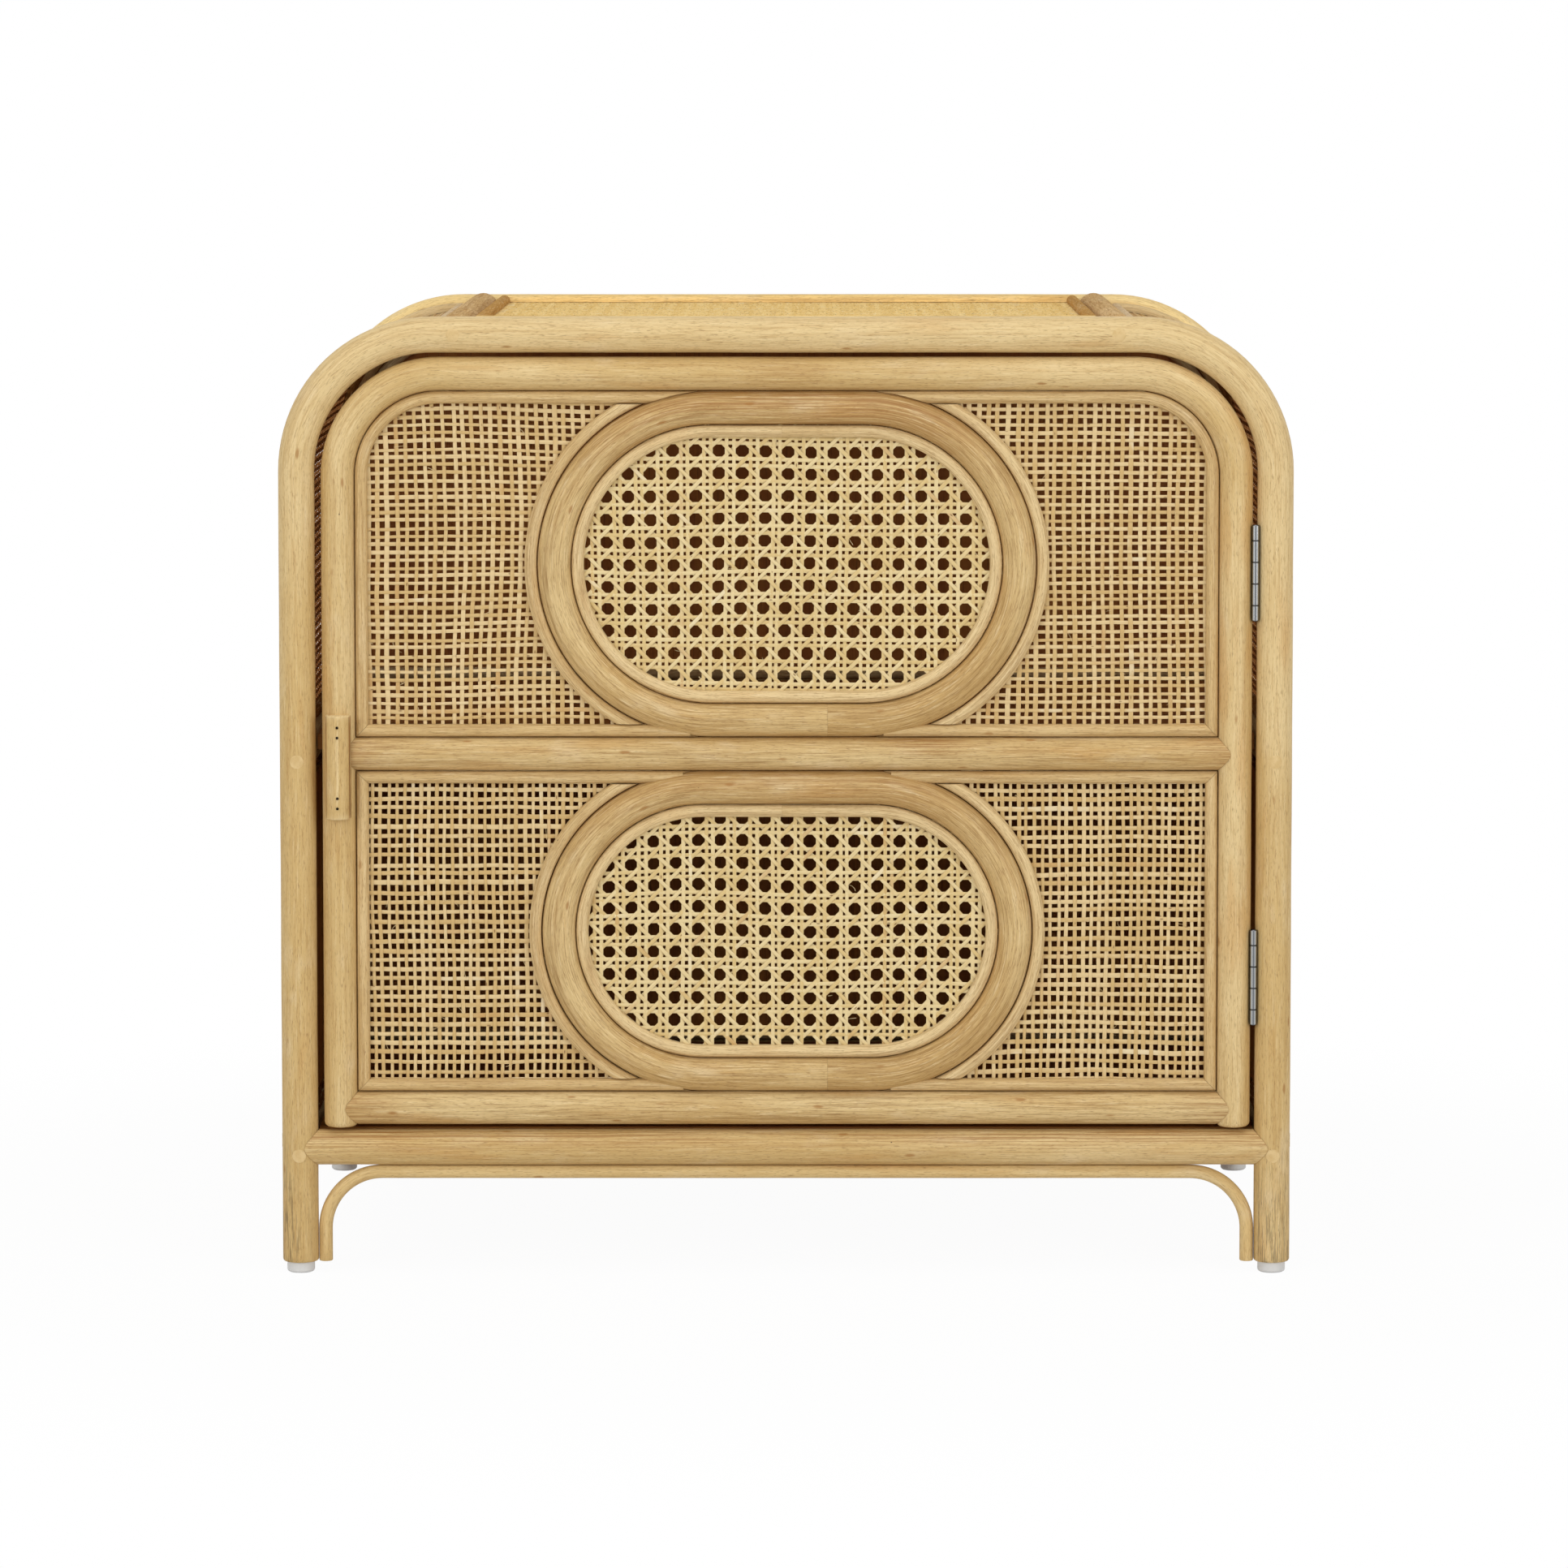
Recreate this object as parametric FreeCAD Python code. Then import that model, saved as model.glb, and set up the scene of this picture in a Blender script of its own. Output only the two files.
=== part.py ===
import FreeCAD, Part
import math
import os

os.makedirs("parts", exist_ok=True)

# Overall frame, millimetres, front faces -Y, +Z up, rests on Z = 0
FRAME_WIDTH = 600.0
FRAME_HEIGHT = 569.5
FRAME_DEPTH = 380.0
FRAME_POLE = 21.4
FRAME_BEND = 81.0
BOTTOM_RAIL_HEIGHT = 75.0
MID_RAIL_SHARE = 0.545
LEG_END_CHAMFER = 1.2

# Crossbars at the ends of the top
CROSSBAR_POLE = 20.0
CROSSBAR_STEP = 12.3
CROSSBAR_PROUD = 1.0

# Bent braces below the bottom rails
BRACE_POLE = 8.2
BRACE_BEND = 34.0

# Foot glides
GLIDE_DIAMETER = 16.5
GLIDE_HEIGHT = 6.5
GLIDE_EDGE = 2.0
GLIDE_PIN_DIAMETER = 4.0
GLIDE_PIN_LENGTH = 14.0

# Boards, panels, webbing and trims
TOP_SINK = 4.6
TOP_BOARD_THICKNESS = 9.0
SHELF_THICKNESS = 9.0
FLOOR_THICKNESS = 9.0
BOARD_SINK = 0.5
PANEL_THICKNESS = 5.0
WEBBING_THICKNESS = 1.2
SIDE_OPENINGS_ACROSS = 8
SIDE_OPENING_SHARE = 0.5
TRIM_WIDTH = 7.6
TRIM_HEIGHT = 5.0
TOP_TRIM_HEIGHT = 4.5
TRIM_SIDE_SHARE = 0.3

# Door
DOOR_POLE = 20.0
DOOR_CORNER_EASE = 2.1
DOOR_HEAD_GAP = 2.4
DOOR_FOOT_GAP = 1.8
DOOR_LATCH_GAP = 3.8
DOOR_HINGE_GAP = 2.6
STILE_OVERHANG = 1.2
STILE_END_ROUND = 3.0
UPPER_RING_STRAIGHT = 90.0
LOWER_RING_STRAIGHT = 99.4
WEDGE_TIP = 0.8

# Octagonal cane
CANE_PITCH = 13.3
CANE_HOLE = 6.6
CANE_MARGIN = 0.8

# Pull
PULL_LENGTH = 62.0
PULL_WIDTH = 15.2
PULL_RISE = 8.0
PULL_DROP = 7.0
NAIL_DIAMETER = 1.6
NAIL_LENGTH = 19.0
NAIL_SPOTS = (-24.0, -18.0, 18.0, 24.0)

# Hinges
HINGE_LENGTH = 56.0
HINGE_FOOT_RISE = 90.0
HINGE_HEAD_DROP = 117.5
PIN_DIAMETER = 2.4
PIN_HEAD_HEIGHT = 0.5
PIN_HEAD_TAPER = 0.85
KNUCKLE_DIAMETER = 4.6
END_KNUCKLE = 8.8
LEAF_THICKNESS = 1.0
LEAF_WIDTH = 12.0
HINGE_SCREW_SHANK = 2.6
HINGE_SCREW_HEAD = 4.6
HINGE_SCREW_LENGTH = 12.0
HINGE_SCREW_SPACING = 20.0

# Frame screws and the plugs over them
FRAME_SCREW_SHANK = 4.0
FRAME_SCREW_HEAD = 7.0
FRAME_SCREW_HEAD_DEPTH = 3.0
FRAME_SCREW_LENGTH = 42.0
PLUG_DIAMETER = 8.0
PLUG_DEPTH = 4.0
SCREW_STAGGER = 4.0

# Magnetic catch under the shelf and its strike on the door
CATCH_LENGTH = 44.0
CATCH_DEPTH = 14.0
CATCH_HEIGHT = 13.0
CATCH_INSET = 40.0
CATCH_GAP = 0.4
MAGNET_LENGTH = 26.0
MAGNET_DEPTH = 9.0
MAGNET_HEIGHT = 7.0
STRIKE_LENGTH = 40.0
STRIKE_HEIGHT = 15.0
STRIKE_THICKNESS = 1.2
STRIKE_FLAT = 0.8
SMALL_SCREW_SHANK = 2.4
SMALL_SCREW_HEAD = 4.2
SMALL_SCREW_REACH = 6.0
SMALL_SCREW_INSET = 5.0

# Fits
COPE_GAP = 0.10
HOLE_GAP = 0.05
KNUCKLE_GAP = 0.30
KNUCKLE_CLEARANCE = 0.40
SHELF_SETBACK = 3.0

# Places that follow from the sizes above
frame_radius = FRAME_POLE / 2
door_radius = DOOR_POLE / 2
front_reach = max(frame_radius, door_radius + PULL_RISE)
pole_span = FRAME_DEPTH - FRAME_POLE
front_y = front_reach - (front_reach + pole_span + frame_radius) / 2
rear_y = front_y + pole_span
middle_y = (front_y + rear_y) / 2
leg_x = FRAME_WIDTH / 2 - frame_radius
top_z = FRAME_HEIGHT - frame_radius
mid_rail_z = FRAME_HEIGHT * MID_RAIL_SHARE
crossbar_x = leg_x - FRAME_BEND - CROSSBAR_STEP
crossbar_radius = CROSSBAR_POLE / 2
crossbar_z = FRAME_HEIGHT + CROSSBAR_PROUD - crossbar_radius
clear_x = leg_x - frame_radius
clear_front_y = front_y + frame_radius
clear_rear_y = rear_y - frame_radius
door_right = clear_x - DOOR_HINGE_GAP
door_left = DOOR_LATCH_GAP - clear_x
hinge_stile_x = door_right - door_radius
latch_stile_x = door_left + door_radius
door_middle_x = (hinge_stile_x + latch_stile_x) / 2
door_top_z = top_z - frame_radius - DOOR_HEAD_GAP - door_radius
door_bend = FRAME_BEND - frame_radius - DOOR_HEAD_GAP - door_radius + DOOR_CORNER_EASE
door_foot_z = BOTTOM_RAIL_HEIGHT + frame_radius + DOOR_FOOT_GAP
door_bottom_rail_z = door_foot_z + STILE_OVERHANG + door_radius
hinge_x = (clear_x + door_right) / 2
# The knuckles sit in the groove between leg and stile, far enough forward to clear both
wide_radius = max(frame_radius, door_radius)
knuckle_room = wide_radius + KNUCKLE_DIAMETER / 2 + KNUCKLE_CLEARANCE
hinge_y = front_y - math.sqrt(knuckle_room ** 2 - (wide_radius + DOOR_HINGE_GAP / 2) ** 2)
hinge_heights = (door_foot_z + HINGE_FOOT_RISE, door_top_z - HINGE_HEAD_DROP)
pull_z = mid_rail_z - PULL_DROP

FRONT = FreeCAD.Vector(0, -1, 0)
BACK = FreeCAD.Vector(0, 1, 0)
RIGHT = FreeCAD.Vector(1, 0, 0)
UP = FreeCAD.Vector(0, 0, 1)
DOWN = FreeCAD.Vector(0, 0, -1)


def at(x, y, z):
    return FreeCAD.Vector(x, y, z)


def save(name, solids):
    shape = solids[0] if len(solids) == 1 else Part.makeCompound(solids)
    shape.exportStep("parts/" + name + ".step")


def rod(start, end, diameter):
    run = end.sub(start)
    return Part.makeCylinder(diameter / 2, run.Length, start, run)


def block(x_low, x_high, y_low, y_high, z_low, z_high):
    corner = at(x_low, y_low, z_low)
    return Part.makeBox(x_high - x_low, y_high - y_low, z_high - z_low, corner)


def joined(solids):
    if len(solids) == 1:
        return solids[0]
    return solids[0].multiFuse(solids[1:]).removeSplitter()


def single(shape):
    return shape.Solids[0] if len(shape.Solids) == 1 else shape


def solid_at(shape, spot):
    for solid in shape.Solids:
        if solid.isInside(spot, 0.01, True):
            return solid
    return shape.Solids[0]


def beyond(spot, direction):
    # Everything past a plane, for mitres and flat cut ends
    reach = 2 * FRAME_WIDTH
    slab = Part.makeBox(reach, reach, reach, at(-reach / 2, -reach / 2, 0))
    slab.Placement = FreeCAD.Placement(spot, FreeCAD.Rotation(UP, direction)).multiply(slab.Placement)
    return slab


def runs_along(points, bend, closed):
    count = len(points)
    corners = {}
    for index in range(count):
        if not closed and index in (0, count - 1):
            continue
        here = points[index]
        arrive = here.sub(points[index - 1]).normalize()
        leave = points[(index + 1) % count].sub(here).normalize()
        turn = arrive.getAngle(leave)
        reach = bend * math.tan(turn / 2)
        axis = arrive.cross(leave).normalize()
        start = here.sub(arrive * reach)
        finish = here.add(leave * reach)
        centre = start.add(axis.cross(arrive) * bend)
        corners[index] = (start, finish, arrive, centre, axis, turn)
    runs = []
    for index in range(count if closed else count - 1):
        after = (index + 1) % count
        begin = corners[index][1] if index in corners else points[index]
        end = corners[after][0] if after in corners else points[after]
        if end.sub(begin).Length > 0.001:
            runs.append((begin, end.sub(begin), None))
        if after in corners:
            start, finish, arrive, centre, axis, turn = corners[after]
            runs.append((start, arrive, (centre, axis, math.degrees(turn))))
    return runs


def swept(points, section, bend=0.0, closed=False):
    # A section carried along straight runs and round bends
    solids = []
    for start, run, curve in runs_along(points, bend, closed):
        face = section(start, FreeCAD.Vector(run).normalize())
        if curve is None:
            solids.append(face.extrude(run))
        else:
            centre, axis, degrees = curve
            solids.append(face.revolve(centre, axis, degrees))
    return joined(solids)


def round_section(diameter):
    def section(start, along):
        return Part.Face(Part.Wire(Part.Circle(start, along, diameter / 2).toShape()))
    return section


def strip_section(width, height, lift=None, across=None):
    # Half-round strip with its flat back on the path; it lifts one way, or away from a bend
    def section(start, along):
        rise = lift if lift else along.cross(across)
        side = along.cross(rise)
        shoulder = rise * (height * TRIM_SIDE_SHARE)
        left = start.sub(side * (width / 2))
        right = start.add(side * (width / 2))
        crown = Part.Arc(right.add(shoulder), start.add(rise * height), left.add(shoulder)).toShape()
        flat = Part.makePolygon([left.add(shoulder), left, right, right.add(shoulder)])
        return Part.Face(Part.Wire(flat.Edges + [crown]))
    return section


def sheet_section(width, thickness, across):
    def section(start, along):
        half = across * (width / 2)
        rise = along.cross(across) * (thickness / 2)
        low, high = start.sub(half), start.add(half)
        ring = [low.sub(rise), high.sub(rise), high.add(rise), low.add(rise), low.sub(rise)]
        return Part.Face(Part.makePolygon(ring))
    return section


def mitred_strip(start, end, lift, inward_start, inward_end, height):
    # A straight strip whose ends are cut at 45 degrees towards the neighbours that lie inward
    along = end.sub(start).normalize()
    reach = along * TRIM_WIDTH
    strip = swept([start.sub(reach), end.add(reach)], strip_section(TRIM_WIDTH, height, lift))
    if inward_start:
        strip = strip.cut(beyond(start, inward_start.add(along).normalize() * -1))
    if inward_end:
        strip = strip.cut(beyond(end, inward_end.sub(along).normalize() * -1))
    return single(strip)


def trim_frame(corners, lift, height):
    # Four mitred strips round a rectangle, given by the corner points of their middle lines
    strips = []
    for index in range(4):
        start = corners[index]
        end = corners[(index + 1) % 4]
        before = corners[index - 1].sub(start).normalize()
        after = corners[(index + 2) % 4].sub(end).normalize()
        strips.append(mitred_strip(start, end, lift, before, after, height))
    return strips


def coped(solid, tools):
    return single(solid.cut(Part.makeCompound(tools)) if len(tools) == 1 else solid.cut(tools))


def stepped_screw(spot, inward, head, head_depth, shank, length):
    neck = spot.add(inward * head_depth)
    return joined([rod(spot, neck, head), rod(neck, spot.add(inward * length), shank)])


def countersunk_screw(spot, inward, head, shank, head_depth, length, grow=0.0):
    neck = spot.add(inward * head_depth)
    cone = Part.makeCone(head / 2 + grow, shank / 2 + grow, head_depth, spot, inward)
    return joined([cone, rod(neck, spot.add(inward * length), shank + 2 * grow)])


# Frame poles


def arch_points(y):
    foot_z = GLIDE_HEIGHT
    return [at(-leg_x, y, foot_z), at(-leg_x, y, top_z), at(leg_x, y, top_z), at(leg_x, y, foot_z)]


def arch(y):
    pole = swept(arch_points(y), round_section(FRAME_POLE), FRAME_BEND)
    ends = [edge for edge in pole.Edges if edge.BoundBox.ZMax < GLIDE_HEIGHT + 0.01]
    return pole.makeChamfer(LEG_END_CHAMFER, ends)


def leg_tool(x, y):
    return rod(at(x, y, 0), at(x, y, FRAME_HEIGHT), FRAME_POLE + 2 * COPE_GAP)


def cross_rail(y, z):
    pole = rod(at(-leg_x, y, z), at(leg_x, y, z), FRAME_POLE)
    return coped(pole, [leg_tool(-leg_x, y), leg_tool(leg_x, y)])


def rail_tool(y, z):
    return rod(at(-leg_x, y, z), at(leg_x, y, z), FRAME_POLE + 2 * COPE_GAP)


def side_rail(x, z, meeting):
    pole = rod(at(x, front_y, z), at(x, rear_y, z), FRAME_POLE)
    return coped(pole, [leg_tool(x, front_y), leg_tool(x, rear_y)] + meeting)


def crossbar(x):
    pole = rod(at(x, front_y, crossbar_z), at(x, rear_y, crossbar_z), CROSSBAR_POLE)
    tools = []
    for y in (front_y, rear_y):
        tools.append(rod(at(-leg_x, y, top_z), at(leg_x, y, top_z), FRAME_POLE + 2 * COPE_GAP))
    return coped(pole, tools)


brace_drop = frame_radius + COPE_GAP + BRACE_POLE / 2
brace_z = BOTTOM_RAIL_HEIGHT - brace_drop


def brace(first, last):
    points = [at(first.x, first.y, GLIDE_HEIGHT), at(first.x, first.y, brace_z)]
    points += [at(last.x, last.y, brace_z), at(last.x, last.y, GLIDE_HEIGHT)]
    return swept(points, round_section(BRACE_POLE), BRACE_BEND)


# Screws in the pole joints: those along Y hold side rails and crossbars, those along X hold cross rails

screw_spots = []
for side in (-1, 1):
    for y, inward in ((front_y, BACK), (rear_y, FRONT)):
        start_y = y - inward.y * frame_radius
        screw_spots.append((at(side * leg_x, start_y, BOTTOM_RAIL_HEIGHT - SCREW_STAGGER), inward))
        screw_spots.append((at(side * leg_x, start_y, mid_rail_z - SCREW_STAGGER), inward))
        screw_spots.append((at(side * crossbar_x, start_y, top_z), inward))
    for y, z in ((front_y, BOTTOM_RAIL_HEIGHT), (rear_y, BOTTOM_RAIL_HEIGHT), (rear_y, mid_rail_z)):
        screw_spots.append((at(side * FRAME_WIDTH / 2, y, z + SCREW_STAGGER), at(-side, 0, 0)))

frame_screws = []
frame_plugs = []
plug_holes = []
shank_holes = []
for spot, inward in screw_spots:
    seat = spot.add(inward * PLUG_DEPTH)
    tip = seat.add(inward * FRAME_SCREW_LENGTH)
    bottom = seat.add(inward * FRAME_SCREW_HEAD_DEPTH)
    frame_screws.append(stepped_screw(
        seat, inward, FRAME_SCREW_HEAD, FRAME_SCREW_HEAD_DEPTH, FRAME_SCREW_SHANK, FRAME_SCREW_LENGTH))
    # The plug follows the round of the pole it closes
    along_top = abs(abs(spot.x) - crossbar_x) < 0.001
    half = RIGHT * PLUG_DIAMETER if along_top else UP * PLUG_DIAMETER
    core = spot.add(inward * frame_radius)
    core.z = top_z if along_top else spot.z
    skin = rod(core.sub(half), core.add(half), FRAME_POLE)
    frame_plugs.append(single(rod(spot, seat, PLUG_DIAMETER).common(skin)))
    outside = spot.sub(inward * PLUG_DEPTH)
    plug_holes.append(rod(outside, bottom, PLUG_DIAMETER + 2 * HOLE_GAP))
    shank_holes.append(rod(bottom, tip, FRAME_SCREW_SHANK + 2 * HOLE_GAP))

front_holes = []
rear_holes = []
for (spot, inward), wide, narrow in zip(screw_spots, plug_holes, shank_holes):
    (front_holes if spot.y < middle_y else rear_holes).extend([wide, narrow])

# Hinges, each set over a list of heights

knuckle_radius = KNUCKLE_DIAMETER / 2
leaf_inner = knuckle_radius - LEAF_THICKNESS
middle_knuckle = (HINGE_LENGTH - 2 * END_KNUCKLE) / 3
knuckle_ends = [0.0, END_KNUCKLE]
for step in range(3):
    knuckle_ends.append(END_KNUCKLE + (step + 1) * middle_knuckle)
knuckle_ends.append(HINGE_LENGTH)


def hinge_screw_spots(height, side):
    x = hinge_x + side * leaf_inner
    return [at(x, front_y, height + step * HINGE_SCREW_SPACING) for step in (-1, 0, 1)]


def hinge_screw(spot, side, grow=0.0):
    return countersunk_screw(
        spot, RIGHT * side, HINGE_SCREW_HEAD, HINGE_SCREW_SHANK, LEAF_THICKNESS, HINGE_SCREW_LENGTH, grow)


def hinge_leaf(height, side):
    # The frame leaf carries the end and middle knuckles, the door leaf the two between
    base_z = height - HINGE_LENGTH / 2
    x_low, x_high = sorted((hinge_x + side * leaf_inner, hinge_x + side * knuckle_radius))
    leaf = block(x_low, x_high, hinge_y, hinge_y + LEAF_WIDTH, base_z, base_z + HINGE_LENGTH)
    mine = (0, 2, 4) if side > 0 else (1, 3)
    knuckles = []
    reliefs = []
    for index in range(5):
        low = base_z + knuckle_ends[index]
        high = base_z + knuckle_ends[index + 1]
        if index in mine:
            trim_low = KNUCKLE_GAP / 2 if index > 0 else 0.0
            trim_high = KNUCKLE_GAP / 2 if index < 4 else 0.0
            knuckles.append(rod(at(hinge_x, hinge_y, low + trim_low), at(hinge_x, hinge_y, high - trim_high),
                                KNUCKLE_DIAMETER))
        else:
            back = hinge_y + knuckle_radius + KNUCKLE_GAP
            reliefs.append(block(x_low - KNUCKLE_GAP, x_high + KNUCKLE_GAP, hinge_y - knuckle_radius, back,
                                 low - KNUCKLE_GAP / 2, high + KNUCKLE_GAP / 2))
    leaf = joined([leaf.cut(reliefs)] + knuckles)
    bore = rod(at(hinge_x, hinge_y, base_z), at(hinge_x, hinge_y, base_z + HINGE_LENGTH),
               PIN_DIAMETER + 2 * HOLE_GAP)
    holes = [hinge_screw(spot, side, HOLE_GAP) for spot in hinge_screw_spots(height, side)]
    return single(leaf.cut([bore] + holes))


def hinge_cuts(height, side):
    # The mortise and the screw holes in the pole beside the leaf
    base_z = height - HINGE_LENGTH / 2
    face = hinge_x + side * (knuckle_radius + HOLE_GAP)
    x_low, x_high = sorted((hinge_x, face))
    pocket = block(x_low, x_high, hinge_y - knuckle_radius, hinge_y + LEAF_WIDTH + frame_radius,
                   base_z - HOLE_GAP, base_z + HINGE_LENGTH + HOLE_GAP)
    return [pocket] + [hinge_screw(spot, side, HOLE_GAP) for spot in hinge_screw_spots(height, side)]


def hinge_pin(height):
    low = height - HINGE_LENGTH / 2
    high = low + HINGE_LENGTH
    stem = rod(at(hinge_x, hinge_y, low), at(hinge_x, hinge_y, high), PIN_DIAMETER)
    heads = []
    for z, way in ((low, DOWN), (high, UP)):
        heads.append(Part.makeCone(knuckle_radius, knuckle_radius * PIN_HEAD_TAPER, PIN_HEAD_HEIGHT,
                                   at(hinge_x, hinge_y, z), way))
    return joined([stem] + heads)


frame_leaf_cuts = []
door_leaf_cuts = []
for height in hinge_heights:
    frame_leaf_cuts += hinge_cuts(height, 1)
    door_leaf_cuts += hinge_cuts(height, -1)
save("hinge_frame_leaves", [hinge_leaf(height, 1) for height in hinge_heights])
save("hinge_door_leaves", [hinge_leaf(height, -1) for height in hinge_heights])
save("hinge_pins", [hinge_pin(height) for height in hinge_heights])
frame_spots = [spot for height in hinge_heights for spot in hinge_screw_spots(height, 1)]
door_spots = [spot for height in hinge_heights for spot in hinge_screw_spots(height, -1)]
save("hinge_frame_screws", [hinge_screw(spot, 1) for spot in frame_spots])
save("hinge_door_screws", [hinge_screw(spot, -1) for spot in door_spots])

# Foot glides and their holes

glides = []
glide_holes = {front_y: [], rear_y: []}
for x in (-leg_x, leg_x):
    for y in (front_y, rear_y):
        disc = rod(at(x, y, 0), at(x, y, GLIDE_HEIGHT), GLIDE_DIAMETER)
        rim = [edge for edge in disc.Edges if edge.BoundBox.ZMax < 0.01]
        disc = disc.makeFillet(GLIDE_EDGE, rim)
        pin_top = at(x, y, GLIDE_HEIGHT + GLIDE_PIN_LENGTH)
        glides.append(joined([disc, rod(at(x, y, GLIDE_HEIGHT), pin_top, GLIDE_PIN_DIAMETER)]))
        glide_holes[y].append(rod(at(x, y, 0), pin_top, GLIDE_PIN_DIAMETER + 2 * HOLE_GAP))
save("foot_glides", glides)

save("front_arch", [single(arch(front_y).cut(front_holes + frame_leaf_cuts + glide_holes[front_y]))])
save("rear_arch", [single(arch(rear_y).cut(rear_holes + glide_holes[rear_y]))])
save("front_bottom_rail", [single(cross_rail(front_y, BOTTOM_RAIL_HEIGHT).cut(front_holes))])
save("rear_bottom_rail", [single(cross_rail(rear_y, BOTTOM_RAIL_HEIGHT).cut(rear_holes))])
save("rear_mid_rail", [single(cross_rail(rear_y, mid_rail_z).cut(rear_holes))])
save("frame_screws", frame_screws)
save("frame_plugs", frame_plugs)

bottom_meeting = [rail_tool(front_y, BOTTOM_RAIL_HEIGHT), rail_tool(rear_y, BOTTOM_RAIL_HEIGHT)]
mid_meeting = [rail_tool(rear_y, mid_rail_z)]
brace_inset = frame_radius + COPE_GAP + BRACE_POLE / 2
for name, side in (("left", -1), ("right", 1)):
    x = side * leg_x
    near = [hole for hole in shank_holes if abs(hole.BoundBox.Center.x - x) < frame_radius]
    save(name + "_bottom_rail", [single(side_rail(x, BOTTOM_RAIL_HEIGHT, bottom_meeting).cut(near))])
    save(name + "_mid_rail", [single(side_rail(x, mid_rail_z, mid_meeting).cut(near))])
    bar_x = side * crossbar_x
    near = [hole for hole in shank_holes if abs(hole.BoundBox.Center.x - bar_x) < 0.01]
    save(name + "_crossbar", [single(crossbar(bar_x).cut(near))])
    save(name + "_brace", [brace(at(x, front_y + brace_inset, 0), at(x, rear_y - brace_inset, 0))])
for name, y in (("front", front_y), ("rear", rear_y)):
    save(name + "_brace", [brace(at(brace_inset - leg_x, y, 0), at(leg_x - brace_inset, y, 0))])

# Top board, its webbing and its trims

board_x = crossbar_x - crossbar_radius - COPE_GAP
board_front = clear_front_y + COPE_GAP
board_rear = clear_rear_y - COPE_GAP
webbing_top = FRAME_HEIGHT - TOP_SINK
board_top = webbing_top - WEBBING_THICKNESS
save("top_board", [block(-board_x, board_x, board_front, board_rear, board_top - TOP_BOARD_THICKNESS, board_top)])
save("top_webbing", [block(-board_x, board_x, board_front, board_rear, board_top, webbing_top)])
trim_half = TRIM_WIDTH / 2
edge_x = board_x - trim_half
edge_front = board_front + trim_half
edge_rear = board_rear - trim_half
top_corners = [at(-edge_x, edge_front, webbing_top), at(edge_x, edge_front, webbing_top),
               at(edge_x, edge_rear, webbing_top), at(-edge_x, edge_rear, webbing_top)]
save("top_trims", trim_frame(top_corners, UP, TOP_TRIM_HEIGHT))

# Side webbing over the bend, lower side panels, and the trims on both faces of each

bay_low_z = BOTTOM_RAIL_HEIGHT + frame_radius + COPE_GAP
bay_high_z = mid_rail_z - frame_radius - COPE_GAP
upper_low_z = mid_rail_z + frame_radius + COPE_GAP
bar_edge_x = crossbar_x + crossbar_radius + COPE_GAP
bay_depth = board_rear - board_front
mid_low_tool = rail_tool(rear_y, mid_rail_z)
# The strips beside the crossbars reach a little way into the bend, where the webbing has begun to drop
bend_reach = max(bar_edge_x + TRIM_WIDTH - (leg_x - FRAME_BEND), 0.0)
bend_sag = FRAME_BEND - math.sqrt(FRAME_BEND ** 2 - bend_reach ** 2) + COPE_GAP


def side_points(side, y, grow, low_z, end_x):
    outer = side * (leg_x + grow)
    return [at(outer, y, low_z), at(outer, y, top_z + grow), at(side * end_x, y, top_z + grow)]


def webbing_openings(side):
    # The weave's openings as one plain grid, up the straight part of the side and round the bend
    pitch = (bay_depth - 2 * TRIM_WIDTH) / SIDE_OPENINGS_ACROSS
    opening = pitch * SIDE_OPENING_SHARE
    through = 4 * WEBBING_THICKNESS
    corner = at(-through / 2, -opening / 2, -opening / 2)
    straight = top_z - FRAME_BEND - upper_low_z
    edge_turn = math.acos(min(max(bar_edge_x + TRIM_WIDTH - leg_x + FRAME_BEND, 0.0) / FRAME_BEND, 1.0))
    length = straight + FRAME_BEND * edge_turn - TRIM_WIDTH
    rows = int(length / pitch)
    tools = []
    for row in range(rows):
        gone = TRIM_WIDTH + length / 2 + (row + 0.5 - rows / 2) * pitch
        turn = max(gone - straight, 0.0) / FRAME_BEND
        x = side * (leg_x - FRAME_BEND + FRAME_BEND * math.cos(turn))
        z = upper_low_z + min(gone, straight) + FRAME_BEND * math.sin(turn)
        lean = FreeCAD.Rotation(BACK, -side * math.degrees(turn))
        for column in range(SIDE_OPENINGS_ACROSS):
            y = board_front + TRIM_WIDTH + (column + 0.5) * pitch
            tool = Part.makeBox(through, opening, opening, corner)
            tool.Placement = FreeCAD.Placement(at(x, y, z), lean).multiply(tool.Placement)
            tools.append(tool)
    return tools


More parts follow.
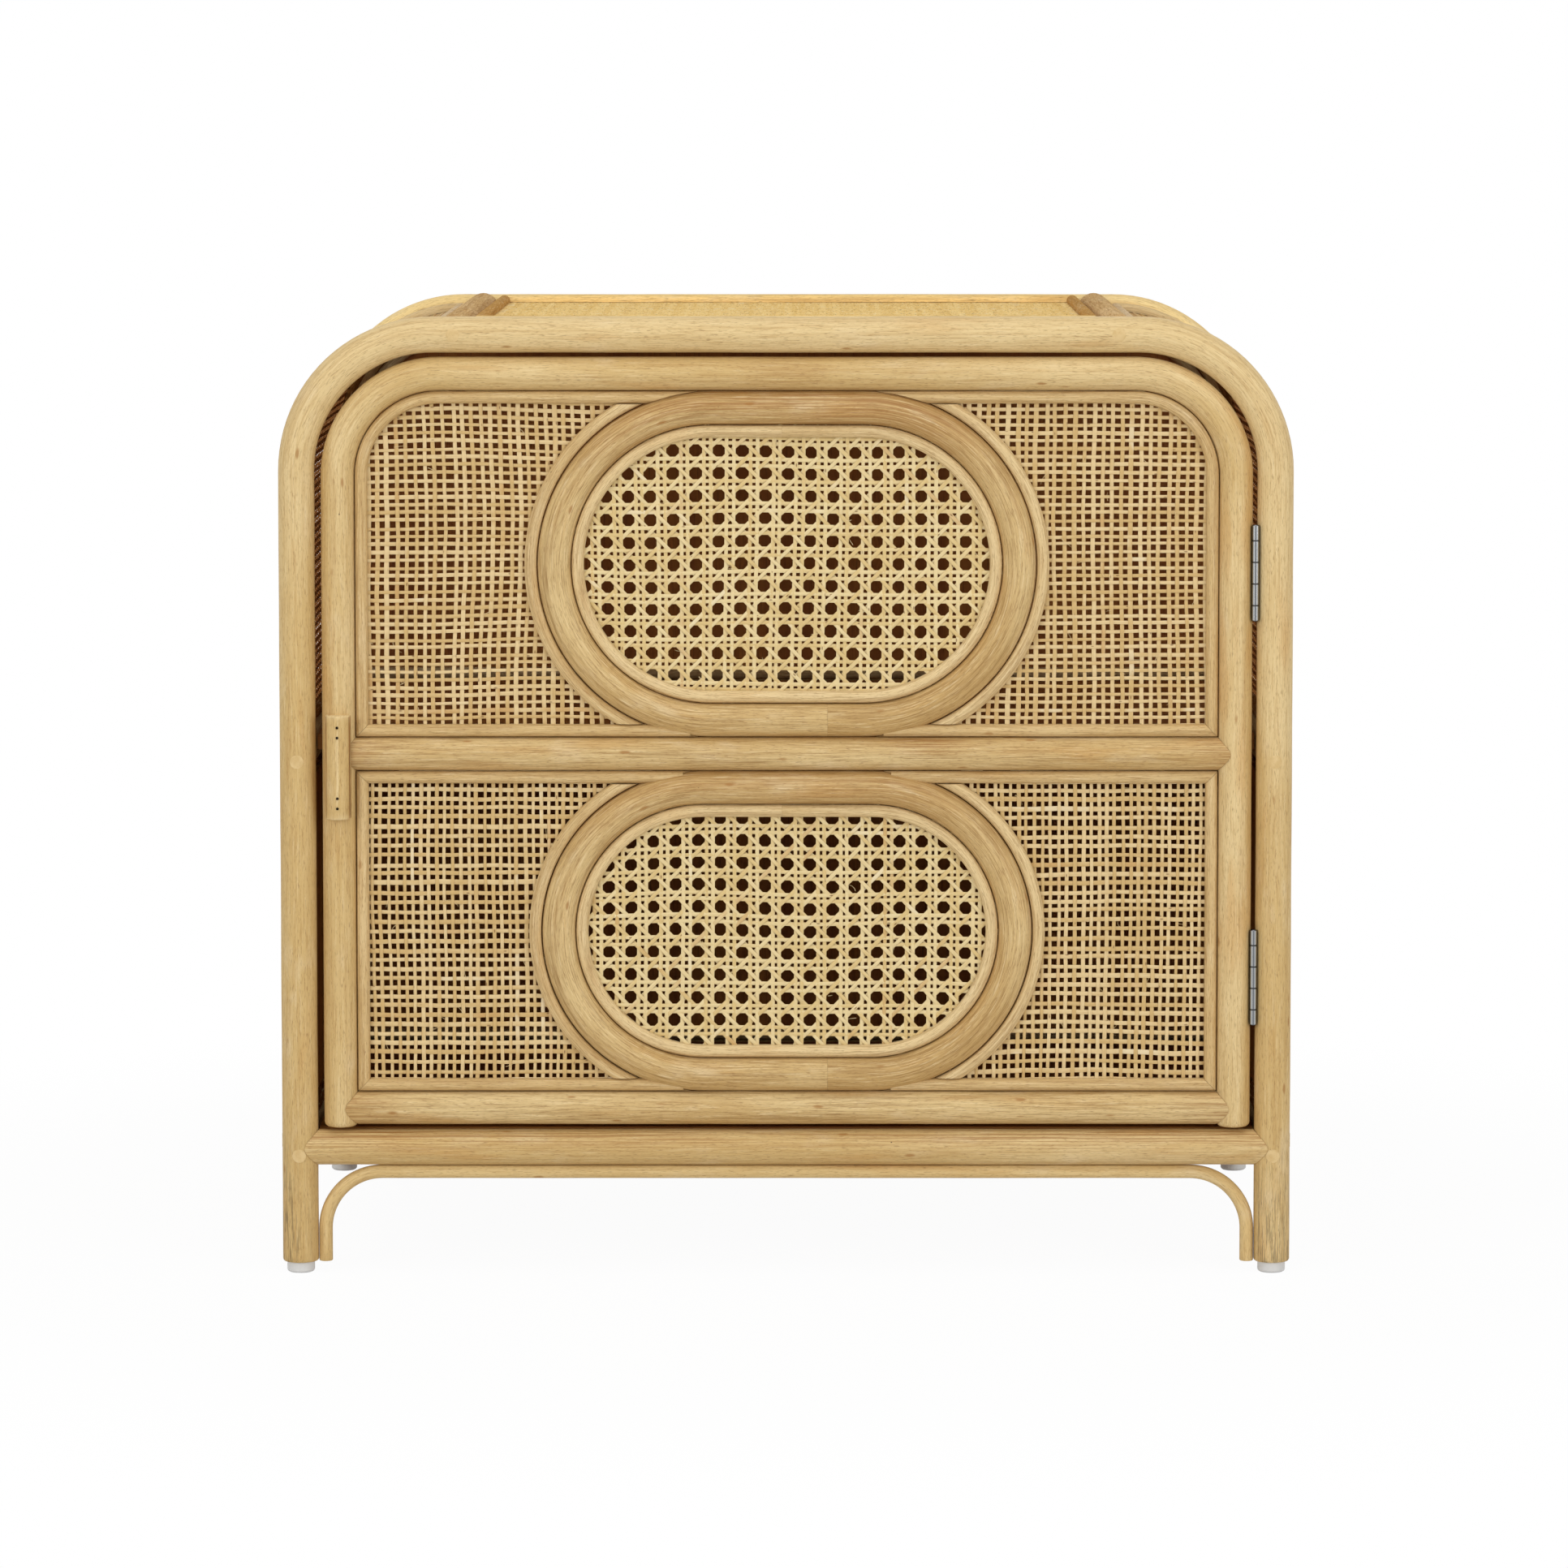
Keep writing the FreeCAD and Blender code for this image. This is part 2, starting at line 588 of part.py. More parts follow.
for name, side in (("left", -1), ("right", 1)):
    across = BACK * side
    sheet = swept(side_points(side, middle_y, 0.0, upper_low_z, bar_edge_x),
                  sheet_section(bay_depth, WEBBING_THICKNESS, across), FRAME_BEND)
    save(name + "_webbing", [single(sheet.cut(Part.makeCompound(webbing_openings(side))))])
    panel = block(side * leg_x - PANEL_THICKNESS / 2, side * leg_x + PANEL_THICKNESS / 2,
                  board_front, board_rear, bay_low_z, bay_high_z)
    save(name + "_panel", [panel])
    trims = []
    for face in (1, -1):
        grow = face * WEBBING_THICKNESS / 2
        lift = RIGHT * (side * face)
        x = side * (leg_x + grow)
        strip = strip_section(TRIM_WIDTH, TRIM_HEIGHT, across=across * -face)
        for y, inward in ((edge_front, BACK), (edge_rear, FRONT)):
            bent = swept(side_points(side, y, grow, upper_low_z, bar_edge_x), strip, FRAME_BEND + grow)
            foot = at(x, y, upper_low_z + trim_half)
            head = at(side * (bar_edge_x + trim_half), y, top_z + grow)
            bent = bent.cut(beyond(foot, DOWN.sub(inward).normalize()))
            bent = bent.cut(beyond(head, (RIGHT * -side).sub(inward).normalize()))
            trims.append(solid_at(bent, at(x, y, mid_rail_z * 0.5 + top_z * 0.5)))
        foot_z = upper_low_z + trim_half
        trims.append(mitred_strip(at(x, edge_front, foot_z), at(x, edge_rear, foot_z), lift, UP, UP, TRIM_HEIGHT))
        head_x = side * (bar_edge_x + trim_half)
        head_z = top_z + grow - (bend_sag if face < 0 else 0.0)
        outward = RIGHT * side
        trims.append(mitred_strip(at(head_x, edge_front, head_z), at(head_x, edge_rear, head_z),
                                  UP * face, outward, outward, TRIM_HEIGHT))
        x = side * (leg_x + face * PANEL_THICKNESS / 2)
        low = bay_low_z + trim_half
        high = bay_high_z - trim_half
        corners = [at(x, edge_front, low), at(x, edge_rear, low), at(x, edge_rear, high), at(x, edge_front, high)]
        trims += trim_frame(corners, lift, TRIM_HEIGHT)
    save(name + "_side_trims", trims)

# Back panels and their trims

rear_tool = swept(arch_points(rear_y), round_section(FRAME_POLE + 2 * COPE_GAP), FRAME_BEND)
upper_back = block(-leg_x, leg_x, rear_y - PANEL_THICKNESS / 2, rear_y + PANEL_THICKNESS / 2,
                   mid_rail_z, top_z)
upper_back = upper_back.cut([rear_tool, mid_low_tool])
save("upper_back_panel", [solid_at(upper_back, at(0, rear_y, (mid_rail_z + top_z) / 2))])
edge_leg_x = clear_x - COPE_GAP
save("lower_back_panel", [block(-edge_leg_x, edge_leg_x, rear_y - PANEL_THICKNESS / 2,
                                rear_y + PANEL_THICKNESS / 2, bay_low_z, bay_high_z)])
back_trims = []
trim_x = edge_leg_x - trim_half
for lift in (FRONT, BACK):
    y = rear_y + lift.y * PANEL_THICKNESS / 2
    low = upper_low_z + trim_half
    high = top_z - frame_radius - COPE_GAP - trim_half
    bend = FRAME_BEND - frame_radius - COPE_GAP - trim_half
    points = [at(-trim_x, y, upper_low_z), at(-trim_x, y, high), at(trim_x, y, high), at(trim_x, y, upper_low_z)]
    bow = swept(points, strip_section(TRIM_WIDTH, TRIM_HEIGHT, lift), bend)
    for side in (-1, 1):
        bow = bow.cut(beyond(at(side * trim_x, y, low), at(side, 0, -1).normalize()))
    back_trims.append(solid_at(bow, at(0, y, high)))
    back_trims.append(mitred_strip(at(-trim_x, y, low), at(trim_x, y, low), lift, UP, UP, TRIM_HEIGHT))
    low = bay_low_z + trim_half
    high = bay_high_z - trim_half
    corners = [at(-trim_x, y, low), at(trim_x, y, low), at(trim_x, y, high), at(-trim_x, y, high)]
    back_trims += trim_frame(corners, lift, TRIM_HEIGHT)
save("back_trims", back_trims)

# Shelf, floor and catch

shelf_top = mid_rail_z + frame_radius - BOARD_SINK
shelf_bottom = shelf_top - SHELF_THICKNESS
shelf_front = front_y + door_radius + SHELF_SETBACK
strike_face = front_y + door_radius - STRIKE_FLAT
catch_front = strike_face + STRIKE_THICKNESS + CATCH_GAP
catch_x = door_left + DOOR_POLE + CATCH_INSET
catch_low = shelf_bottom - CATCH_HEIGHT
catch_screw_y = catch_front + MAGNET_DEPTH + (CATCH_DEPTH - MAGNET_DEPTH) / 2


def catch_screw(x, grow=0.0):
    spot = at(x, max(catch_screw_y, shelf_front + SMALL_SCREW_SHANK), catch_low)
    return countersunk_screw(spot, UP, SMALL_SCREW_HEAD, SMALL_SCREW_SHANK,
                             (SMALL_SCREW_HEAD - SMALL_SCREW_SHANK) / 2, CATCH_HEIGHT + SMALL_SCREW_REACH, grow)


catch_screw_xs = [catch_x + side * (CATCH_LENGTH / 2 - SMALL_SCREW_INSET) for side in (-1, 1)]
catch_holes = [catch_screw(x, HOLE_GAP) for x in catch_screw_xs]
shelf = block(-edge_leg_x, edge_leg_x, shelf_front, board_rear, shelf_bottom, shelf_top)
save("shelf_board", [single(shelf.cut(catch_holes))])
floor_top = BOTTOM_RAIL_HEIGHT + frame_radius - BOARD_SINK
save("floor_board", [block(-edge_leg_x, edge_leg_x, board_front, board_rear, floor_top - FLOOR_THICKNESS, floor_top)])
catch_middle_z = catch_low + CATCH_HEIGHT / 2


def magnet(grow):
    return block(catch_x - MAGNET_LENGTH / 2 - grow, catch_x + MAGNET_LENGTH / 2 + grow,
                 catch_front, catch_front + MAGNET_DEPTH + grow,
                 catch_middle_z - MAGNET_HEIGHT / 2 - grow, catch_middle_z + MAGNET_HEIGHT / 2 + grow)


case = block(catch_x - CATCH_LENGTH / 2, catch_x + CATCH_LENGTH / 2, catch_front, catch_front + CATCH_DEPTH,
             catch_low, shelf_bottom)
save("catch_body", [single(case.cut([magnet(HOLE_GAP)] + catch_holes))])
save("catch_magnet", [magnet(0.0)])
save("catch_screws", [catch_screw(x) for x in catch_screw_xs])

# Door poles

door_points = [at(latch_stile_x, front_y, door_foot_z), at(latch_stile_x, front_y, door_top_z),
               at(hinge_stile_x, front_y, door_top_z), at(hinge_stile_x, front_y, door_foot_z)]
latch_stile = rod(at(latch_stile_x, front_y, 0), at(latch_stile_x, front_y, FRAME_HEIGHT), DOOR_POLE + 2 * COPE_GAP)
hinge_stile = rod(at(hinge_stile_x, front_y, 0), at(hinge_stile_x, front_y, FRAME_HEIGHT), DOOR_POLE + 2 * COPE_GAP)
pull_base = math.sqrt(door_radius ** 2 - min(PULL_WIDTH / 2, door_radius) ** 2)
pull_depth = door_radius + PULL_RISE - pull_base
nail_front = front_y - door_radius - PULL_RISE
nails = [rod(at(latch_stile_x, nail_front, pull_z + spot),
             at(latch_stile_x, nail_front + NAIL_LENGTH, pull_z + spot), NAIL_DIAMETER) for spot in NAIL_SPOTS]
nail_holes = [rod(at(latch_stile_x, nail_front, pull_z + spot),
                  at(latch_stile_x, nail_front + NAIL_LENGTH, pull_z + spot),
                  NAIL_DIAMETER + 2 * HOLE_GAP) for spot in NAIL_SPOTS]
door_arch = swept(door_points, round_section(DOOR_POLE), door_bend)
door_ends = [edge for edge in door_arch.Edges if edge.BoundBox.ZMax < door_foot_z + 0.01]
door_arch = door_arch.makeFillet(STILE_END_ROUND, door_ends)
save("door_arch", [single(door_arch.cut(door_leaf_cuts + nail_holes))])
pull = swept([at(latch_stile_x, front_y - pull_base, pull_z - PULL_LENGTH / 2),
              at(latch_stile_x, front_y - pull_base, pull_z + PULL_LENGTH / 2)],
             strip_section(PULL_WIDTH, pull_depth, FRONT))
save("pull_handle", [single(pull.cut([latch_stile] + nail_holes))])
save("handle_nails", nails)


def door_rail(z):
    return rod(at(latch_stile_x, front_y, z), at(hinge_stile_x, front_y, z), DOOR_POLE)


def strike_screw(x, grow=0.0):
    spot = at(x, strike_face + STRIKE_THICKNESS, mid_rail_z)
    return countersunk_screw(spot, FRONT, SMALL_SCREW_HEAD, SMALL_SCREW_SHANK,
                             (SMALL_SCREW_HEAD - SMALL_SCREW_SHANK) / 2, SMALL_SCREW_REACH, grow)


strike_xs = [catch_x + side * (STRIKE_LENGTH / 2 - SMALL_SCREW_INSET) for side in (-1, 1)]
strike_holes = [strike_screw(x, HOLE_GAP) for x in strike_xs]
strike_z = mid_rail_z
strike = block(catch_x - STRIKE_LENGTH / 2, catch_x + STRIKE_LENGTH / 2, strike_face,
               strike_face + STRIKE_THICKNESS, strike_z - STRIKE_HEIGHT / 2, strike_z + STRIKE_HEIGHT / 2)
flat = block(catch_x - STRIKE_LENGTH / 2 - COPE_GAP, catch_x + STRIKE_LENGTH / 2 + COPE_GAP, strike_face,
             strike_face + DOOR_POLE, strike_z - DOOR_POLE, strike_z + DOOR_POLE)
# The horn of the rail's cope that would lie behind the pull is cut back beside it
pull_edge = latch_stile_x + PULL_WIDTH / 2 + COPE_GAP
horn = block(door_left, pull_edge, nail_front, front_y - pull_base + COPE_GAP, mid_rail_z - DOOR_POLE,
             mid_rail_z + DOOR_POLE)
mid_rail = coped(door_rail(mid_rail_z), [latch_stile, hinge_stile, flat, horn] + strike_holes)
save("door_mid_rail", [solid_at(mid_rail, at(door_middle_x, front_y, mid_rail_z))])
save("door_bottom_rail", [coped(door_rail(door_bottom_rail_z), [latch_stile, hinge_stile])])
save("strike_plate", [single(strike.cut(strike_holes))])
save("strike_screws", [strike_screw(x) for x in strike_xs])

# Door panels: oval ring, cane, webbing and trims in each bay

trim_left = latch_stile_x + door_radius + COPE_GAP + trim_half
trim_right = hinge_stile_x - door_radius - COPE_GAP - trim_half


def oval_points(bottom, top, length):
    left = door_middle_x - length / 2
    right = door_middle_x + length / 2
    return [at(left, front_y, bottom), at(right, front_y, bottom), at(right, front_y, top), at(left, front_y, top)]


def oval(bottom, top, length, y, section):
    points = oval_points(bottom, top, length)
    for spot in points:
        spot.y = y
    return swept(points, section, (top - bottom) / 2, True)


def oval_face(bottom, top, length, y):
    # Flat oval with straight long sides, for sheets and for the ring's outline
    radius = (top - bottom) / 2
    middle_z = (bottom + top) / 2
    left = door_middle_x - length / 2
    right = door_middle_x + length / 2
    corners = [at(left + radius, y, bottom), at(right - radius, y, bottom),
               at(right - radius, y, top), at(left + radius, y, top)]
    edges = [Part.makeLine(corners[0], corners[1]),
             Part.Arc(corners[1], at(right, y, middle_z), corners[2]).toShape(),
             Part.makeLine(corners[2], corners[3]),
             Part.Arc(corners[3], at(left, y, middle_z), corners[0]).toShape()]
    return Part.Face(Part.Wire(edges))


def bay_face(bottom, top, y, corner_radius):
    # Flat outline of a door bay, square or with round upper corners
    left = latch_stile_x + door_radius + COPE_GAP
    right = hinge_stile_x - door_radius - COPE_GAP
    low_left, low_right = at(left, y, bottom), at(right, y, bottom)
    if not corner_radius:
        return Part.Face(Part.makePolygon([low_left, low_right, at(right, y, top), at(left, y, top), low_left]))
    spread = corner_radius * (1 - math.sqrt(0.5))
    side_z = top - corner_radius
    edges = [Part.makeLine(low_left, low_right), Part.makeLine(low_right, at(right, y, side_z)),
             Part.Arc(at(right, y, side_z), at(right - spread, y, top - spread),
                      at(right - corner_radius, y, top)).toShape(),
             Part.makeLine(at(right - corner_radius, y, top), at(left + corner_radius, y, top)),
             Part.Arc(at(left + corner_radius, y, top), at(left + spread, y, top - spread),
                      at(left, y, side_z)).toShape(),
             Part.makeLine(at(left, y, side_z), low_left)]
    return Part.Face(Part.Wire(edges))


def wedge_x(height, length, reach):
    # How far from the middle the space beside the ring has opened to a given height
    radius = height / 2
    straight = length / 2 - radius
    return straight + math.sqrt(max(radius ** 2 - (radius - reach) ** 2, 0.0))


def cane_holes(length, height, middle_z):
    keep_radius = height / 2 - CANE_MARGIN - CANE_HOLE / 2
    straight = length / 2 - height / 2
    holes = []
    columns = int(length / CANE_PITCH / 2)
    rows = int(height / CANE_PITCH / 2)
    for column in range(-columns, columns + 1):
        for row in range(-rows, rows + 1):
            x = column * CANE_PITCH
            z = row * CANE_PITCH
            if math.hypot(max(abs(x) - straight, 0.0), z) > keep_radius:
                continue
            corners = []
            for corner in range(9):
                angle = math.radians(22.5 + 45 * corner)
                corners.append(at(door_middle_x + x + CANE_HOLE / 2 * math.cos(angle), front_y - WEBBING_THICKNESS,
                                  middle_z + z + CANE_HOLE / 2 * math.sin(angle)))
            holes.append(Part.Face(Part.makePolygon(corners)).extrude(BACK * (2 * WEBBING_THICKNESS)))
    return holes


def door_bay(name, low_z, high_z, straight, arched):
    bottom = low_z + COPE_GAP
    top = high_z - COPE_GAP
    height = top - bottom
    length = height + straight
    middle_z = (bottom + top) / 2
    half_pole = door_radius
    pole_path = (bottom + half_pole, top - half_pole, length - DOOR_POLE)
    save(name + "_ring", [oval(*pole_path, front_y, round_section(DOOR_POLE))])

    # The ring's outline, and the slim wedges beside it that no sheet or strip reaches
    tip = wedge_x(height, length, WEDGE_TIP)
    outline_y = front_y - 2 * TRIM_HEIGHT
    outline = oval_face(bottom - COPE_GAP, top + COPE_GAP, length + 2 * COPE_GAP, outline_y)
    outline = outline.extrude(BACK * (4 * TRIM_HEIGHT))
    waist = block(door_middle_x - tip, door_middle_x + tip, outline_y, outline_y + 4 * TRIM_HEIGHT,
                  low_z - half_pole, high_z + half_pole)

    # Sheets fill the bay at the middle plane, up to the widest line of the poles
    sheet_y = front_y - WEBBING_THICKNESS / 2
    depth = BACK * WEBBING_THICKNESS
    corner_radius = door_bend - door_radius - COPE_GAP if arched else 0.0
    sheet = bay_face(bottom, top, sheet_y, corner_radius).extrude(depth)
    pieces = sheet.cut(waist).cut(outline)
    save(name + "_left_webbing", [solid_at(pieces, at(trim_left, front_y, middle_z))])
    save(name + "_right_webbing", [solid_at(pieces, at(trim_right, front_y, middle_z))])
    rim = DOOR_POLE + COPE_GAP
    cane = oval_face(bottom + rim, top - rim, length - 2 * rim, sheet_y).extrude(depth)
    holes = cane_holes(length - 2 * rim - 2 * TRIM_WIDTH, height - 2 * rim - 2 * TRIM_WIDTH, middle_z)
    save(name + "_cane", [single(cane.cut(Part.makeCompound(holes)))])

    ring_trims = []
    panel_trims = []
    strip_low = bottom + trim_half
    strip_high = top - trim_half
    reach = trim_half + 2 * COPE_GAP
    for lift in (FRONT, BACK):
        y = front_y + lift.y * WEBBING_THICKNESS / 2
        strip = strip_section(TRIM_WIDTH, TRIM_HEIGHT, lift)
        inner = DOOR_POLE + COPE_GAP + trim_half
        ring_trims.append(oval(bottom + inner, top - inner, length - 2 * inner, y, strip))
        # Arcs outside the ends of the ring die into the straight strips
        round_trim = oval(bottom - reach, top + reach, length + 2 * reach, y, strip)
        band = block(latch_stile_x, hinge_stile_x, y - TRIM_HEIGHT * 2, y + TRIM_HEIGHT * 2,
                     bottom + TRIM_WIDTH + COPE_GAP, top - TRIM_WIDTH - COPE_GAP)
        ring_trims += round_trim.common(band).Solids
        for side, edge in ((-1, trim_left), (1, trim_right)):
            inward = RIGHT * -side
            end_x = door_middle_x + side * tip
            sill_start = at(edge, y, strip_low)
            if arched:
                bend = door_bend - door_radius - COPE_GAP - trim_half
                bow = swept([at(end_x, y, strip_high), at(edge, y, strip_high), at(edge, y, bottom)], strip, bend)
                bow = bow.cut(beyond(sill_start, at(side, 0, -1).normalize())).cut(outline)
                panel_trims.append(solid_at(bow, at(edge, y, middle_z)))
            else:
                head = mitred_strip(at(edge, y, strip_high), at(end_x, y, strip_high), lift, DOWN, None, TRIM_HEIGHT)
                head = head.cut(waist).cut(outline)
                panel_trims.append(solid_at(head, at(edge - side * TRIM_WIDTH * 2, y, strip_high)))
                panel_trims.append(mitred_strip(at(edge, y, strip_low), at(edge, y, strip_high), lift,
                                                inward, inward, TRIM_HEIGHT))
            sill = mitred_strip(sill_start, at(end_x, y, strip_low), lift, UP, None, TRIM_HEIGHT)
            sill = sill.cut(waist).cut(outline)
            panel_trims.append(solid_at(sill, at(edge - side * TRIM_WIDTH * 2, y, strip_low)))
    save(name + "_ring_trims", ring_trims)
    save(name + "_panel_trims", panel_trims)


door_bay("upper", mid_rail_z + door_radius, door_top_z - door_radius, UPPER_RING_STRAIGHT, True)
door_bay("lower", door_bottom_rail_z + door_radius, mid_rail_z - door_radius, LOWER_RING_STRAIGHT, False)
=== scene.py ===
import math

import bpy
import numpy as np
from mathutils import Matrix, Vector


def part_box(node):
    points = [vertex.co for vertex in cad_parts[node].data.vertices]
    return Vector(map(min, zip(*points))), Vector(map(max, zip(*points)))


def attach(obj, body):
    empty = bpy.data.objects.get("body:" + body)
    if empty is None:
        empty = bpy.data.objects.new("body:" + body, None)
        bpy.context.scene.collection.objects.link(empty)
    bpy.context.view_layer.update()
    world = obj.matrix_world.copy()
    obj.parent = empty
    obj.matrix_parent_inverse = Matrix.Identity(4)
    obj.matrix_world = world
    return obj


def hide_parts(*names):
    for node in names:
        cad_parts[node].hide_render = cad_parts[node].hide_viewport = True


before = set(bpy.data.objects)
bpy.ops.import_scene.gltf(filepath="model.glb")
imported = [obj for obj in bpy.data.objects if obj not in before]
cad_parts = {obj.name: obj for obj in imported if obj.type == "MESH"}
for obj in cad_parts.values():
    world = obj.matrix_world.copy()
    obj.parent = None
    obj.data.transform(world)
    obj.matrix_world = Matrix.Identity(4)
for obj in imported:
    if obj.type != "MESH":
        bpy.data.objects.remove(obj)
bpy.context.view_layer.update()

# Bends, strips and joints, in metres
FRAME_BEND = 0.081
DOOR_BEND = 0.060
BRACE_BEND = 0.034
TRIM_WIDTH = 0.0076
TRIM_HEIGHT = 0.005
TOP_TRIM_HEIGHT = 0.0045
TRIM_SIDE_SHARE = 0.3
PULL_WIDTH = 0.0152
NAIL_STAND = 0.0005
PLUG_STAND = 0.00006
WEDGE_TIP = 0.0003
SEAM = 0.0001
JOINT_GAP = 0.00045
RUN_OUT_LENGTH = 0.062
STRIP_GAP = 0.0002
MITRE_GAP = 0.00012
BUTT_GAP = 0.00006
RING_JOINT = 0.024
TRIM_JOINT = -0.003
SMEAR_X = 0.084
HINGE_HALF = 0.0285
KNUCKLE_SEAMS = (0.0064, 0.0192)
LEG_END_ROUND = 0.0016
STILE_END_ROUND = 0.003
BRACE_END_ROUND = 0.0008
PULL_END_ROUND = 0.0012

# How uneven poles and strips have grown, as a share of their radius
ARCH_ROUGH = 0.004
POLE_ROUGH = 0.006
BENT_STRIP_ROUGH = 0.008
STRIP_ROUGH = 0.010

# Square webbing: its strands lie wider apart one way, and the lower door panels turn it round
WIDE_PITCH = 0.0056
NARROW_PITCH = 0.0047
STRAND_SHARE = 0.44
SIDE_STRAND_SHARE = 0.47
TOP_PITCH = 0.0043
TOP_WIDTH = 0.0035
STRAND_THICKNESS = 0.00045
SIDE_STRAND_THICKNESS = 0.0005
STRAND_BOW = 0.00028
STRAND_STRAY = 0.06
FRAY_LENGTH = (0.003, 0.010)
FRAY_POINTS = 7
FRAY_THICKNESS = 0.00012

# Octagonal cane
CANE_PITCH = 0.0133
CANE_STRAND = 0.00215
CANE_PAIR_OFFSET = 0.00197
CANE_THICKNESS = 0.0005
CANE_BOW = 0.00030
CANE_STRAY = 0.00018
DIAGONAL_BOW = 0.00075
POINTS_PER_HOLE = 8

# Camera: the tilt is in radians and the lens is given in widths of the sensor
EYE_DISTANCE = 3.8676
EYE_X = 0.0191
EYE_Z = 0.7238
CAMERA_TILT = 0.0827
SENSOR_WIDTH = 36.0
LENS_LENGTH = 4.1838
SHIFT_X = -0.0218
SHIFT_Y = -0.119

POLE_STEP = 0.006
ARC_STEP = math.radians(4)
SHARP_EDGE = math.radians(40)
FLOOR_HALF = 6

X, Y, Z = np.eye(3)
SIDES = (("left", -1), ("right", 1))


# Places read from the solids

def middle(node):
    low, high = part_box(node)
    return (low + high) / 2


arch_low, arch_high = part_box("front_arch")
frame_radius = (arch_high.y - arch_low.y) / 2
front_y = middle("front_arch").y
rear_y = middle("rear_arch").y
leg_x = arch_high.x - frame_radius
top_z = arch_high.z - frame_radius
foot_z = arch_low.z
bottom_rail_z = middle("front_bottom_rail").z
mid_rail_z = middle("rear_mid_rail").z
bar_low, bar_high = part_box("right_crossbar")
bar_radius = (bar_high.x - bar_low.x) / 2
bar_x = middle("right_crossbar").x
bar_z = bar_high.z - bar_radius
brace_low, brace_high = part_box("front_brace")
brace_radius = (brace_high.y - brace_low.y) / 2
brace_x = brace_high.x - brace_radius
brace_z = brace_high.z - brace_radius
side_brace_low, side_brace_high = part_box("left_brace")
door_low, door_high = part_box("door_arch")
door_rail_low, door_rail_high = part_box("door_bottom_rail")
door_radius = (door_rail_high.z - door_rail_low.z) / 2
latch_x = door_low.x + door_radius
hinge_x = door_high.x - door_radius
door_x = (latch_x + hinge_x) / 2
door_top_z = door_high.z - door_radius
door_foot_z = door_low.z
door_mid_z = middle("door_mid_rail").z
door_sill_z = middle("door_bottom_rail").z
top_low, top_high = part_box("top_webbing")
upper_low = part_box("right_webbing")[0].z
sheet = top_high.z - top_low.z
pin_low, pin_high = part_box("hinge_pins")
pin_x = (pin_low.x + pin_high.x) / 2
knuckle_radius = (pin_high.x - pin_low.x) / 2
lower_hinge_z, upper_hinge_z = pin_low.z + HINGE_HALF, pin_high.z - HINGE_HALF
pull_low, pull_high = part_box("pull_handle")
panel_low, panel_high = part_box("right_panel")
back_low, back_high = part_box("lower_back_panel")
trim_half = TRIM_WIDTH / 2


# Routes along which poles and strips run

def unit(vector):
    size = np.linalg.norm(vector)
    return vector / size if size > 1e-12 else vector


class Route:
    """Straight runs joined by round bends, measured from the start."""

    def __init__(self, corners, bend=0.0, closed=False):
        corners = [np.array(corner, float) for corner in corners]
        count = len(corners)
        turns = {}
        for index in range(count):
            if not closed and index in (0, count - 1):
                continue
            arrive = unit(corners[index] - corners[index - 1])
            leave = unit(corners[(index + 1) % count] - corners[index])
            angle = math.acos(max(-1.0, min(1.0, float(arrive @ leave))))
            reach = bend * math.tan(angle / 2)
            axis = unit(np.cross(arrive, leave))
            start = corners[index] - arrive * reach
            turns[index] = (start, corners[index] + leave * reach, arrive, axis, angle)
        self.closed = closed
        self.runs = []
        self.length = 0.0
        for index in range(count if closed else count - 1):
            after = (index + 1) % count
            begin = turns[index][1] if index in turns else corners[index]
            end = turns[after][0] if after in turns else corners[after]
            span = float(np.linalg.norm(end - begin))
            if span > 1e-6:
                self.join(span, begin, (end - begin) / span, None, 0.0)
            if after in turns:
                start, finish, arrive, axis, angle = turns[after]
                self.join(bend * angle, start, arrive, axis, bend)

    def join(self, span, start, along, axis, bend):
        self.runs.append((self.length, span, start, along, axis, bend))
        self.length += span

    def stations(self, extra, clear):
        """Distances to place rings at; clear keeps the ends free for a shaped joint."""
        marks = []
        for begin, span, start, along, axis, bend in self.runs:
            parts = round(span / POLE_STEP) if axis is None else math.ceil(span / bend / ARC_STEP)
            parts = max(1, parts)
            marks += [begin + span * part / parts for part in range(parts)]
        if not self.closed:
            marks = [mark for mark in marks if clear < mark < self.length - clear]
            marks += [0.0, self.length]
        return np.array(sorted(set(marks) | set(extra)))

    def at(self, distance):
        """Points and headings at distances along the route."""
        points = np.zeros((len(distance), 3))
        along = np.zeros((len(distance), 3))
        for begin, span, start, heading, axis, bend in self.runs:
            here = (distance >= begin - 1e-9) & (distance <= begin + span + 1e-9)
            gone = (distance[here] - begin)[:, None]
            if axis is None:
                points[here] = start + heading * gone
                along[here] = heading
            else:
                inward = np.cross(axis, heading)
                turn = gone / bend
                points[here] = start + heading * (bend * np.sin(turn))
                points[here] += inward * (bend * (1 - np.cos(turn)))
                along[here] = heading * np.cos(turn) + inward * np.sin(turn)
        return points, along


def arch_route(first, last, high, bend):
    """Up from one foot, across and down to the other."""
    over = [(x, y, high) for x, y, low in (first, last)]
    return Route([first, *over, last], bend)


def drift(seed, distance, length):
    """A smooth wander between about -1 and 1 that repeats nowhere soon."""
    random = np.random.default_rng(seed)
    total = np.zeros_like(distance)
    for share in (0.5, 0.3, 0.2):
        speed = random.uniform(0.6, 1.4) / (length * share * 2)
        total += share * np.sin(2 * math.pi * (distance * speed + random.uniform(0, 1)))
    return total


# Sections

def round_section(radius, count=32):
    turn = np.arange(count) * (2 * math.pi / count)
    return np.stack([radius * np.cos(turn), radius * np.sin(turn)], axis=1)


